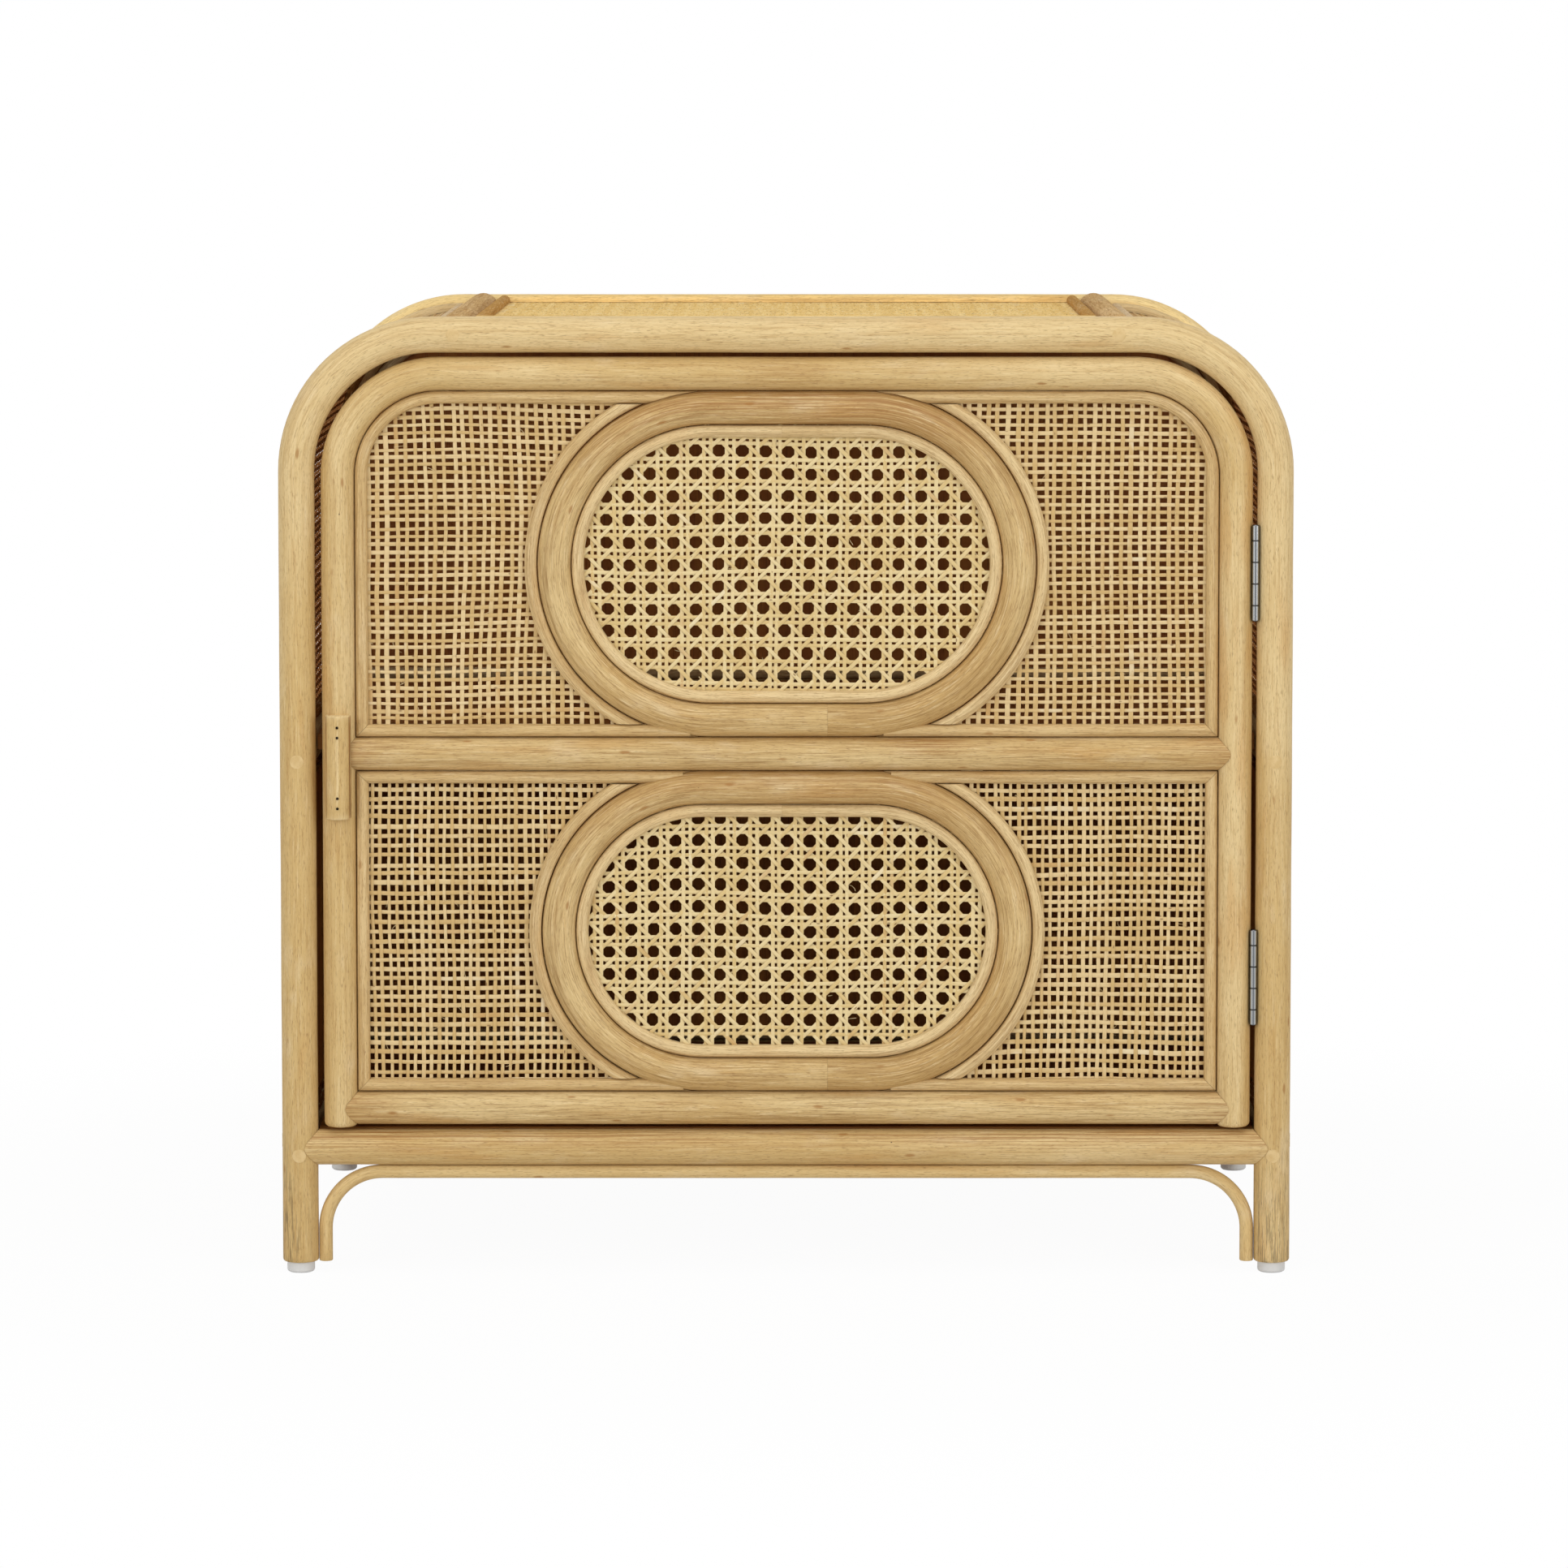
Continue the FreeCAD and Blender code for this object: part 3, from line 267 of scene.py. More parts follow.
def strip_section(width, height, count=11):
    """Half-round strip with a flat back, low sides and a bowed crown."""
    width -= 2 * STRIP_GAP
    rise = height * (1 - TRIM_SIDE_SHARE)
    radius = (width ** 2 / 4 + rise ** 2) / (2 * rise)
    spread = math.asin(min(1.0, width / 2 / radius))
    turn = np.linspace(spread, -spread, count)
    crown = np.stack([radius * np.sin(turn), height - radius + radius * np.cos(turn)], axis=1)
    return np.vstack([[-width / 2, 0.0], [width / 2, 0.0], crown])


TRIM_SECTION = strip_section(TRIM_WIDTH, TRIM_HEIGHT)
RIBBON = np.array([[-0.5, -0.4], [0.5, -0.4], [0.5, 0.2], [0.22, 0.6], [-0.22, 0.6], [-0.5, 0.2]])


def put(name, data):
    """Add an object to the scene."""
    thing = bpy.data.objects.new(name, data)
    bpy.context.scene.collection.objects.link(thing)
    return thing


class Shape:
    """Faces gathered for one piece, with the grain, tint and unwrapped place of each."""

    def __init__(self, seed):
        self.random = np.random.default_rng(seed)
        self.points, self.grain, self.tint, self.patches = [], [], [], []
        self.faces, self.caps = [], []
        self.count = 0

    def add(self, rings, grain, tint):
        """Skin a stack of rings, an array of stations by section points by three."""
        stations, around = rings.shape[:2]
        index = np.arange(stations * around).reshape(stations, around) + self.count
        here, ahead = index[:-1], index[1:]
        faces = np.stack([here, np.roll(here, -1, 1), np.roll(ahead, -1, 1), ahead], axis=2).reshape(-1, 4)
        half = stations // 2
        steps = np.linalg.norm(np.roll(rings[half], -1, 0) - rings[half], axis=1)
        centre = rings.mean(axis=1)
        run = np.linalg.norm(np.diff(centre, axis=0), axis=1)
        # Turn the faces outwards
        outward = rings[half, 0] - centre[half]
        across = rings[half, 1] - rings[half, 0]
        after = min(half + 1, stations - 1)
        onward = centre[after] - centre[after - 1]
        flipped = bool(np.dot(np.cross(across, onward), outward) < 0)
        self.patches.append((len(run), around, run, steps, flipped))
        self.faces.append(faces[:, ::-1] if flipped else faces)
        self.caps += [index[0], index[-1][::-1]] if flipped else [index[0][::-1], index[-1]]
        self.points.append(rings.reshape(-1, 3))
        self.grain.append(grain.reshape(-1, 3))
        self.tint.append(np.broadcast_to(np.asarray(tint, float), rings.shape).reshape(-1, 3))
        self.count += stations * around

    def unwrap(self):
        """Places for all face corners, strip beside strip, in a square."""
        height = max(float(patch[3].sum()) for patch in self.patches) * 1.08
        total = sum(float(patch[2].sum()) for patch in self.patches)
        row_length = math.sqrt(total * height) * 1.02
        cursor, row = 0.0, 0.0
        sides, ends = [], []
        for stations, around, run, steps, flipped in self.patches:
            up = np.concatenate([[0.0], np.cumsum(steps)])
            start = 0
            corners = np.zeros((stations, around, 4, 2))
            while start < stations:
                ahead = np.cumsum(run[start:])
                fits = int(np.searchsorted(ahead, row_length - cursor, side="right"))
                if fits == 0 and cursor > 0:
                    cursor, row = 0.0, row + height
                    continue
                fits = max(1, fits)
                right = cursor + np.concatenate([[0.0], ahead[:fits]])
                for slot, (step, turn) in enumerate(((0, 0), (0, 1), (1, 1), (1, 0))):
                    corners[start:start + fits, :, slot, 0] = right[step:step + fits, None]
                    corners[start:start + fits, :, slot, 1] = row + up[None, turn:turn + around]
                cursor = float(right[-1]) + height * 0.02
                start += fits
            corners = corners.reshape(-1, 4, 2)
            sides.append(corners[:, ::-1] if flipped else corners)
            size = float(steps.sum()) / math.pi
            for end in range(2):
                if cursor + size > row_length:
                    cursor, row = 0.0, row + height
                ends.append(round_section(size * 0.45, around) + [cursor + size / 2, row + size / 2])
                cursor += size * 1.05
        extent = max(row + height, row_length * 1.05)
        return [patch / extent for patch in sides], [ring / extent for ring in ends]

    def piece(self, name, body, node, finish, slot):
        """Make the piece, which rides a body and stands in for a solid."""
        mesh = bpy.data.meshes.new(name)
        quads = np.vstack(self.faces)
        caps = [cap.tolist() for cap in self.caps]
        mesh.from_pydata(np.vstack(self.points), [], quads.tolist() + caps)
        for label, values in (("grain", self.grain), ("tint", self.tint)):
            layer = mesh.attributes.new(label, "FLOAT_VECTOR", "POINT")
            layer.data.foreach_set("vector", np.vstack(values).astype(np.float32).ravel())
        sides, ends = self.unwrap()
        spots = np.vstack([np.vstack(sides).reshape(-1, 2)] + ends)
        layer = mesh.uv_layers.new(name="OFBake")
        layer.uv.foreach_set("vector", spots.astype(np.float32).ravel())
        mesh.shade_smooth()
        mesh.set_sharp_from_angle(angle=SHARP_EDGE)
        mesh.materials.append(finish)
        piece = put(name, mesh)
        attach(piece, body)
        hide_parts(node)


def butt(across, above):
    """Square end of a bent loop, a hair short of its other end."""
    return np.full_like(across, BUTT_GAP)


def along_route(shape, route, section, flat=None, upright=None, start=None, end=None, clear=0.0, ends=0.0,
                rough=0.0, tone=0.5, marks=None):
    """Carry a section along a route. flat is the way the section lifts, or upright the way it lies across.

    start and end shape the joints, ends rounds off the ends, and marks gives the tint of each point.
    """
    radius = float(np.abs(section).max())
    extra = []
    if ends:
        offsets = ends * (1 - np.sin(np.radians([0, 30, 60])))
        extra = [*offsets, *(route.length - offsets)]
    distance = route.stations(extra, max(clear, ends * 1.01))
    if route.closed:
        distance = np.append(distance, route.length)
        start = end = butt
    points, along = route.at(distance)
    if flat is not None:
        lift = np.broadcast_to(flat, points.shape)
        side = np.cross(along, lift)
    else:
        side = np.broadcast_to(upright, points.shape)
        lift = np.cross(side, along)
    near = np.minimum(distance, route.length - distance)
    short = np.clip(ends - near, 0, ends)
    size = 1 - (ends - np.sqrt(np.maximum(ends ** 2 - short ** 2, 0))) / radius
    seed = int(shape.random.integers(1 << 30))
    size = size * (1 + rough * drift(seed, distance, 0.09))
    sway = rough * radius * 1.5 * np.clip(near / 0.05, 0, 1)
    bow_side = sway * drift(seed + 1, distance, 0.22)
    bow_lift = sway * drift(seed + 2, distance, 0.26)
    across = section[:, 0] * size[:, None]
    above = section[:, 1] * size[:, None]
    shift = np.zeros_like(across)
    if start is not None:
        shift[0] = start(section[:, 0], section[:, 1])
    if end is not None:
        shift[-1] = -end(section[:, 0], section[:, 1])
    rings = points[:, None, :] + side[:, None, :] * (across + bow_side[:, None])[..., None]
    rings = rings + lift[:, None, :] * (above + bow_lift[:, None])[..., None]
    rings = rings + along[:, None, :] * shift[..., None]
    origin = shape.random.uniform(0, 4)
    grain = np.stack([distance[:, None] + shift + origin, across + origin, above], axis=2)
    shape.add(rings, grain, marks(rings) if marks else (tone, 0.0, 0.0))


# Finishes

def colour(red, green, blue):
    """A colour given as it looks on a screen, turned to linear light."""
    parts = [part / 255 for part in (red, green, blue)]
    return tuple(p / 12.92 if p <= 0.04045 else ((p + 0.055) / 1.055) ** 2.4 for p in parts) + (1.0,)


class Wire:
    """A socket in a finish; arithmetic and the patterns below add nodes that start from it."""

    def __init__(self, finish, socket):
        self.finish = finish
        self.socket = socket

    def other(self, output):
        """Another output of the node this one comes from."""
        return Wire(self.finish, self.socket.node.outputs[output])

    def math(self, operation, *values):
        return self.finish.add("ShaderNodeMath", {"operation": operation}, dict(enumerate(values)))

    def __add__(self, other):
        return self.math("ADD", self, other)

    def __radd__(self, other):
        return self.math("ADD", other, self)

    def __sub__(self, other):
        return self.math("SUBTRACT", self, other)

    def __rsub__(self, other):
        return self.math("SUBTRACT", other, self)

    def __mul__(self, other):
        return self.math("MULTIPLY", self, other)

    def __rmul__(self, other):
        return self.math("MULTIPLY", other, self)

    def __abs__(self):
        return self.math("ABSOLUTE", self)

    def least(self, second):
        return self.math("MINIMUM", self, second)

    def parts(self):
        first = self.finish.add("ShaderNodeSeparateXYZ", None, {0: self})
        return [first.other(index) for index in range(3)]

    def stretch(self, scale):
        """Scale a place: along the grain and across it, or each axis on its own."""
        scale = (scale + scale[1:])[:3]
        return self.finish.add("ShaderNodeVectorMath", {"operation": "MULTIPLY"}, {0: self, 1: scale})

    def noise(self, scale, detail=2.0, roughness=0.5, distortion=0.0):
        return self.finish.add("ShaderNodeTexNoise", None, {
            "Vector": self.stretch(scale), "Scale": 1.0, "Detail": detail, "Roughness": roughness,
            "Distortion": distortion})

    def spots(self, scale, size, share):
        """Sparse spots: cells of the pattern that are drawn, and how near the middle of one is."""
        near = self.finish.add("ShaderNodeTexVoronoi", None, {"Vector": self.stretch(scale), "Scale": 1.0})
        chance = self.finish.add("ShaderNodeSeparateColor", None, {0: near.other("Color")})
        return (1 - near.fade(size * 0.35, size)) * chance.fade(1 - share, 1 - share + 0.01)

    def fade(self, low, high):
        return self.finish.add("ShaderNodeMapRange", {"interpolation_type": "SMOOTHSTEP"},
                               {"Value": self, "From Min": low, "From Max": high})

    def blend(self, *tints):
        """Go from one colour to another: wires, colours as seen on a screen, or linear ones of four parts."""
        ready = [isinstance(tint, Wire) or len(tint) == 4 for tint in tints]
        first, second = [tint if done else colour(*tint) for tint, done in zip(tints, ready)]
        return self.finish.add("ShaderNodeMix", {"data_type": "RGBA"}, {0: self, 6: first, 7: second}, 2)

    def coat(self, base, tint, low, high, share):
        """Lay a share of a colour over the base, fading in as this value goes from low to high."""
        return (self.fade(low, high) * share).blend(base, tint)


class Finish:
    """One material, or the world, while its nodes are being joined up."""

    def __init__(self, name, owner=None):
        self.material = owner or bpy.data.materials.new(name)
        self.material.use_nodes = True
        self.nodes = self.material.node_tree.nodes
        self.links = self.material.node_tree.links
        self.nodes.clear()

    def add(self, kind, settings=None, inputs=None, output=0):
        node = self.nodes.new(kind)
        for key, value in (settings or {}).items():
            setattr(node, key, value)
        for key, value in (inputs or {}).items():
            if isinstance(value, Wire):
                self.links.new(value.socket, node.inputs[key])
            else:
                node.inputs[key].default_value = value
        return Wire(self, node.outputs[output]) if node.outputs else None

    def layer(self, label):
        return self.add("ShaderNodeAttribute", {"attribute_name": label}, None, "Vector")

    def place(self):
        return self.add("ShaderNodeTexCoord", None, None, "Object")

    def surface(self, base, roughness, bumps, strength, depth, shine=0.4, metallic=0.0):
        normal = self.add("ShaderNodeBump", None, {"Height": bumps, "Strength": strength, "Distance": depth})
        shader = self.add("ShaderNodeBsdfPrincipled", None, {
            "Base Color": base, "Roughness": roughness, "Normal": normal, "Metallic": metallic,
            "Specular IOR Level": shine})
        self.add("ShaderNodeOutputMaterial", None, {"Surface": shader})
        return self.material

    def seen(self):
        """One for what the camera sees straight on, mirrored or through; nought for light that bounces."""
        ray = camera_ray = self.add("ShaderNodeLightPath", None, None, "Is Camera Ray")
        for way in ("Is Glossy Ray", "Is Transmission Ray"):
            ray = ray.math("MAXIMUM", ray, camera_ray.other(way))
        return ray


def pole_finish(name, pale, deep, streak, fleck_share, depth, shine=0.3):
    """Peeled and lacquered rattan: clouds of tone, fine fibres, dark pores, flecks, pin holes and stains; on
    some pieces the grey stain and brown streak coats are painted shade.
    """
    finish = Finish(name)
    grain = finish.layer("grain")
    tone, stain_and_shade, brown = finish.layer("tint").parts()
    cloud = grain.noise((6, 45), 3)
    blush = grain.noise((22, 60), 3, 0.6)
    blotch = grain.noise((11, 75), 2)
    band = grain.noise((9, 330), 3, 0.6)
    fibre = grain.noise((50, 1300), 3, 0.65)
    pore = grain.noise((250, 3000), 1)
    brown_streak_and_shade = grain.noise((9, 1000), 3, 0.7)
    soil_and_shade = grain.noise((50, 900), 3, 0.7)
    fleck = grain.spots((75, 230), 0.34, fleck_share)
    hole = grain.spots((45, 60), 0.03, 0.35)
    base = (cloud + tone * 0.5 - 0.25).fade(0.34, 0.68).blend(pale, deep)
    base = blush.coat(base, (226, 206, 168), 0.55, 0.75, 0.35)
    base = blotch.coat(base, (198, 150, 84), 0.56, 0.74, 0.4)
    base = band.coat(base, streak, 0.48, 0.72, depth)
    base = fibre.coat(base, streak, 0.5, 0.68, depth * 1.25)
    base = (1 - fibre).coat(base, (236, 217, 174), 0.54, 0.7, depth * 0.9)
    base = pore.coat(base, (138, 100, 56), 0.58, 0.69, 0.5)
    # Brown coat: real brown streaks, and painted shade where the marks use it: the door's shadow on the sill,
    # the stiles' outer faces, the ring tops and the pull's edges
    base = brown_streak_and_shade.coat(base, (150, 100, 48), 0.44, 0.58, brown * 0.8)
    base = (fleck * 0.7).blend(base, (158, 108, 50))
    base = (hole * 0.9).blend(base, (40, 26, 14))
    # Grey coat: real stains on the feet, and painted shade along the pull's long edges
    base = soil_and_shade.coat(base, (84, 72, 50), 0.48, 0.62, stain_and_shade * 0.85)
    bumps = fibre * 0.5 + band * 0.5 - pore * 0.3 - hole
    return finish.surface(base, 0.42 + 0.2 * band + 0.12 * pore, bumps, 0.35, 0.0004, shine)


def strand_finish(name, pale, deep, warm, gloss, nicks=0.06, back=(150, 100, 52), shine=0.4, wear=0.0):
    """Split cane: fine fibres, a tone for each strand, worn places, dark nicks and a brown inner side, partly
    the cane's own duller back and partly painted shade of the cabinet's inside.
    """
    finish = Finish(name)
    grain = finish.layer("grain")
    tone, odd, inner = finish.layer("tint").parts()
    fibre = grain.noise((70, 3000), 2, 0.6)
    patch = grain.noise((55, 140), 2)
    worn = grain.noise((38, 60), 1)
    nick = grain.spots((190, 500), 0.3, nicks)
    base = (patch + tone * 0.6 - 0.3).fade(0.28, 0.72).blend(pale, deep)
    base = fibre.coat(base, warm, 0.5, 0.78, 0.4)
    base = odd.coat(base, (234, 220, 186), 0.92, 0.95, worn.fade(0.52, 0.62) * 0.5)
    base = (0.1 - odd).coat(base, (184, 134, 72), 0.02, 0.05, worn.fade(0.45, 0.6) * 0.4)
    if wear:
        rub = finish.place().noise((900, 75, 1), 3, 0.7)
        base = rub.coat(base, (246, 228, 184), 0.54, 0.68, wear)
        base = (1 - rub).coat(base, (150, 100, 48), 0.56, 0.7, wear)
    base = (nick * 0.75).blend(base, (110, 70, 32))
    # The brown inner side is partly the cane's own back and partly painted shade
    base = (inner * 0.85).blend(base, back)
    return finish.surface(base, gloss + 0.25 * fibre, fibre, 0.25, 0.00025, shine)


def board_finish(name, direction):
    """Stained veneer with open grain and the darker lines of the year rings."""
    deep = (158, 93, 35)
    finish = Finish(name)
    place = finish.place()
    wave = place.noise(tuple(2.2 if part else 26 for part in direction), 3, 0.55, 0.6)
    pore = place.noise(tuple(50 if part else 1500 for part in direction), 2, 0.6)
    ring = wave.math("FRACT", wave * 9.0)
    base = wave.fade(0.3, 0.7).blend((190, 123, 50), deep)
    base = ring.coat(base, deep, 0.55, 0.95, (1 - ring.fade(0.95, 1.0)) * 0.55)
    base = pore.coat(base, (86, 52, 26), 0.56, 0.75, 0.5)
    return finish.surface(base, 0.52 + 0.2 * pore, pore, 0.25, 0.0003, 0.35)


def steel_finish(name, pale, deep, dull=0.11, metal=0.95, shine=0.4):
    """Plain metal with fine draw lines and cloudy finger marks."""
    finish = Finish(name)
    place = finish.place()
    line = place.noise((2600, 2600, 140), 2, 0.6)
    cloud = place.noise((160, 160, 110), 3)
    base = line.coat(cloud.fade(0.35, 0.7).blend(pale, deep), (96, 96, 94), 0.55, 0.8, 0.35)
    return finish.surface(base, dull + 0.12 * cloud, line, 0.06, 0.0001, shine, metal)


def hinge_finish(name, bright, dull, seam_and_edge_shade):
    """Zinc knuckles with painted light: bright painted highlights on the shoulders, a dark painted reflection
    down the front, and painted shade at the edges and in the seams.
    """
    finish = Finish(name)
    place = finish.place()
    x, y, z = place.parts()
    line = place.noise((2600, 2600, 140), 2, 0.6)
    across = abs((x - pin_x) * (1 / knuckle_radius))
    height = abs(z - lower_hinge_z).least(abs(z - upper_hinge_z))
    seam = abs(height - KNUCKLE_SEAMS[0]).least(abs(height - KNUCKLE_SEAMS[1]))
    base = line.coat(bright, dull, 0.5, 0.8, 0.4)
    # Painted reflection: a dark band down the front of each knuckle
    base = ((1 - across.fade(0.05, 0.32)) * 0.85).blend(base, dull)
    # Painted shade on the knuckles' edges
    base = across.coat(base, seam_and_edge_shade, 0.66, 0.95, 0.9)
    # Painted shade in the seams between knuckles
    base = ((1 - seam.fade(0.0002, 0.0007)) * 0.9).blend(base, seam_and_edge_shade)
    return finish.surface(base, 0.14 + 0.12 * line, line, 0.06, 0.0001, metallic=0.95)


def plastic_finish(name, plain, mark, roughness):
    """Moulded plastic with a faint flow cloud, scuffs and a fine matt skin."""
    finish = Finish(name)
    place = finish.place()
    scuff = place.noise((900, 900, 220), 3, 0.7)
    base = place.noise((150, 150), 2).coat(plain, mark, 0.3, 0.8, 0.35)
    base = scuff.coat(base, mark, 0.62, 0.8, 0.5)
    return finish.surface(base, roughness + 0.15 * scuff, place.noise((3000, 3000), 2), 0.12, 0.0002)


def filler_finish(name):
    """Pale filler rubbed into the screw holes, with clouds of tone and a few darker grains."""
    finish = Finish(name)
    place = finish.place()
    grit = place.noise((1800, 1800), 2)
    base = place.noise((240, 240), 3).fade(0.35, 0.7).blend((217, 189, 136), (206, 175, 119))
    base = grit.coat(base, (160, 122, 74), 0.6, 0.8, 0.4)
    return finish.surface(base, 0.55 + 0.2 * grit, grit, 0.3, 0.0003)


UMBER = (172, 132, 74)
pole = pole_finish("peeled_pole", (219, 193, 141), (204, 173, 115), UMBER, 0.04, 0.33)
rail_pole = pole_finish("rail_pole", (214, 187, 134), (196, 163, 106), (148, 112, 62), 0.04, 0.48)
ring_pole = pole_finish("ring_pole", (212, 184, 130), (192, 158, 101), (146, 110, 60), 0.04, 0.5)
bar_pole = pole_finish("crossbar_pole", (230, 198, 148), (208, 172, 120), (158, 116, 72), 0.02, 0.5, 0.0)
rear_pole = pole_finish("rear_pole", (244, 216, 154), (230, 195, 124), UMBER, 0.03, 0.22, 0.1)
brace_pole = pole_finish("brace_pole", (220, 192, 136), (206, 174, 114), UMBER, 0.02, 0.28)
trim = pole_finish("split_trim", (221, 195, 145), (204, 173, 119), (160, 124, 74), 0.015, 0.45)
# A darker copy of the trim for the inner strips: painted shade of the cabinet's inside
inner_shaded_trim = pole_finish("inner_shaded_trim", (150, 98, 46), (122, 76, 34), (92, 56, 24), 0.015, 0.45, 0.0)
top_trim = pole_finish("top_trim", (246, 212, 142), (196, 152, 90), (150, 108, 60), 0.02, 0.35, 0.0)
STRAND_TONES = ((218, 192, 142), (200, 168, 110), (176, 136, 80))
webbing = strand_finish("webbing_strand", *STRAND_TONES, 0.40)
# The side strands' dark brown back is partly the cane's back and partly painted shade of the cabinet's inside
side_webbing = strand_finish("side_strand", *STRAND_TONES, 0.70, back=(158, 92, 40), shine=0.0)
cane = strand_finish("cane_strand", (224, 203, 152), (212, 185, 126), (190, 154, 94), 0.34)
top_webbing = strand_finish("top_strand", (246, 214, 146), (234, 196, 122), (186, 138, 72), 0.55, 0.3,
                            shine=0.0, wear=0.6)
veneer = board_finish("veneer", (1, 0, 0))
upright_veneer = board_finish("upright_veneer", (0, 0, 1))
zinc = steel_finish("zinc_plate", (142, 143, 145), (112, 113, 115))
# The hinge zinc carries a painted reflection and painted shade
hinge_zinc = hinge_finish("hinge_zinc", (166, 167, 166), (92, 96, 102), (50, 48, 45))
dark_iron = steel_finish("magnet_iron", (92, 92, 94), (70, 70, 72))
nail_iron = steel_finish("nail_iron", (58, 46, 34), (34, 26, 18), 0.65, 0.0, 0.0)
white_plastic = plastic_finish("white_plastic", (217, 217, 216), (206, 205, 201), 0.42)
brown_plastic = plastic_finish("brown_plastic", (96, 66, 42), (70, 48, 30), 0.45)
filler = filler_finish("wood_filler")


# Marks on the poles: tone, grey stain and brown streaks at each point; some of the grey and brown is painted
# shade

def ramp(value, low, high):
    """Rises from nought at low to one at high; low may be the larger."""
    return np.clip((value - low) / (high - low), 0, 1)


def hump(value, centre, width):
    return np.exp(-((value - centre) / width) ** 2)


def tints(tone, stain_and_shade=0.0, brown=0.0):
    return np.stack(np.broadcast_arrays(tone, stain_and_shade, brown), axis=-1)


def leg_marks(rings):
    """The frame is paler towards the top right, and grey stains climb the feet, the left ones outside."""
    x, z = rings[..., 0], rings[..., 2]
    tone = 0.7 - 0.2 * x / leg_x - 0.6 * ramp(z, 0.1, 0.56) + 0.4 * hump(z, 0.284, 0.05)
    tone = tone + np.where(x > 0, 0.2, 0.0) * ramp(z, 0.4, 0.15)
    outer = np.clip(0.35 - (leg_x + x) / frame_radius * 0.65, 0.15, 1.0)
    return tints(tone, ramp(z, 0.085, 0.035) * np.where(x < 0, outer, 0.6))


def sill_marks(rings):
    """Brown streaks, standing in for the painted shadow of the door, darken the upper half of the rail below
    the door.
    """
    # Painted shadow of the door, drawn as brown streaks
    brown = np.clip(0.35 + (rings[..., 2] - bottom_rail_z) / frame_radius * 0.9, 0.1, 1.0)
    return tints(0.7, 0.0, brown * (0.6 + 0.4 * np.abs(rings[..., 0]) / leg_x))


def rail_marks(rings):
    """Door rails are browner towards the stiles, and the middle one has a brown smear on the right."""
    x, z = rings[..., 0], rings[..., 2]
    away = np.minimum(x - latch_x, hinge_x - x)
    smear = hump(x, SMEAR_X, 0.022) * np.clip((z - door_mid_z) / door_radius + 0.3, 0, 1)
    brown = np.maximum(0.6 * ramp(away, door_radius + 0.03, door_radius), smear)
    return tints(np.where(z > door_sill_z + 0.05, 0.6, 0.4) + 0.2 * brown, 0.0, brown)


def door_marks(rings):
    """The door's bent pole: brown at the top's middle, pale right of that, deep low on the latch side."""
    x, z = rings[..., 0], rings[..., 2]
    head = ramp(z, door_top_z - 0.03, door_top_z)
    top = 0.75 - 0.75 * ramp(x, 0.05, 0.17) + 0.3 * hump(x, 0.0, 0.03)
    latch = 0.5 + 0.4 * ramp(z, 0.36, 0.26)
    hinge = 0.35 + 0.4 * ramp(z, 0.42, 0.48)
    # Painted shade and painted warm bounce light on the outer faces of both stiles, in the narrow gaps beside
    # the legs
    outer = ramp(np.maximum(latch_x - x, x - hinge_x) / door_radius, 0.25, 0.875)
    tone = head * top + (1 - head) * (np.where(x < door_x, latch, hinge) + 0.8 * outer - 0.1)
    return tints(tone, 0.0, 0.4 * head * hump(x, 0.0, 0.03) + 0.25 * (1 - head) * outer)


def ring_marks(bay):
    """Rings are brown along the top, partly a stain and partly painted shade under the arch, most of all the
    upper one, and painted paler at the sides as painted light.
    """
    def marks(rings):
        up = (rings[..., 2] - bay.z) / (bay.height / 2)
        tone = 0.25 + 0.6 * np.clip(up, 0, 1) + 0.45 * np.clip(-up, 0, 1)
        return tints(tone, 0.0, np.clip(up - 0.4, 0, 1) * (1.5 if bay.corner else 0.8))
    return marks


def pull_marks(rings):
    """The cut ends of the pull are pale, its front is worn pale, and its long edges carry painted shade where
    the pull meets the stile.
    """
    near = np.minimum(rings[..., 2] - pull_low.z, pull_high.z - rings[..., 2])
    across = np.abs(rings[..., 0] - latch_x) / (PULL_WIDTH / 2)
    cut = ramp(near, 0.0018, 0.0)
    # Painted shade along the pull's long edges
    edge = ramp(across, 0.8, 1.0) * (1 - cut)
    worn = ramp(across, 0.2, 0.0) * ramp(near, 0.005, 0.015)
    return tints(0.75 - 1.6 * cut - 1.2 * worn, edge * 1.1, edge * 2.2)


# Poles of the frame

def saddle(radius, offset=0.0, axis=0):
    """End of a pole hollowed to sit against another pole that runs across it."""
    reach = radius + JOINT_GAP

    def cut(across, above):
        away = (across, above)[axis] + offset
        return np.sqrt(np.maximum(reach ** 2 - away ** 2, 0.0))
    return cut


def corner_saddle(inside, rail):
    """End of a side rail: hollowed for the leg, and inside the corner for the rail it meets there."""
    leg = saddle(frame_radius)
    meeting = saddle(frame_radius, axis=1)

    def cut(across, above):
        depth = leg(across, above)
        inner = np.where(across * inside > 0, np.maximum(depth, meeting(across, above)), depth)
        return inner if rail else depth
    return cut


def pole_piece(name, route, radius, seed, lies=Y, finish=pole, slot="rattan_pole", body="cabinet",
               joints=None, count=32, rough=POLE_ROUGH, **rest):
    """One round pole; joints are the shaped cuts at its start and end."""
    shape = Shape(seed)
    if joints:
        rest.update(start=joints[0], end=joints[1], clear=min(radius, frame_radius) * 1.4)
    along_route(shape, route, round_section(radius, count), upright=lies, rough=rough, **rest)
    shape.piece(name + "_pole", body, name, finish, slot)


def brace(name, first, last, seed, lies):
    route = arch_route((*first, foot_z), (*last, foot_z), brace_z, BRACE_BEND)
    pole_piece(name, route, brace_radius, seed, lies, brace_pole, "brace_pole", count=20, tone=0.4,
               ends=BRACE_END_ROUND)


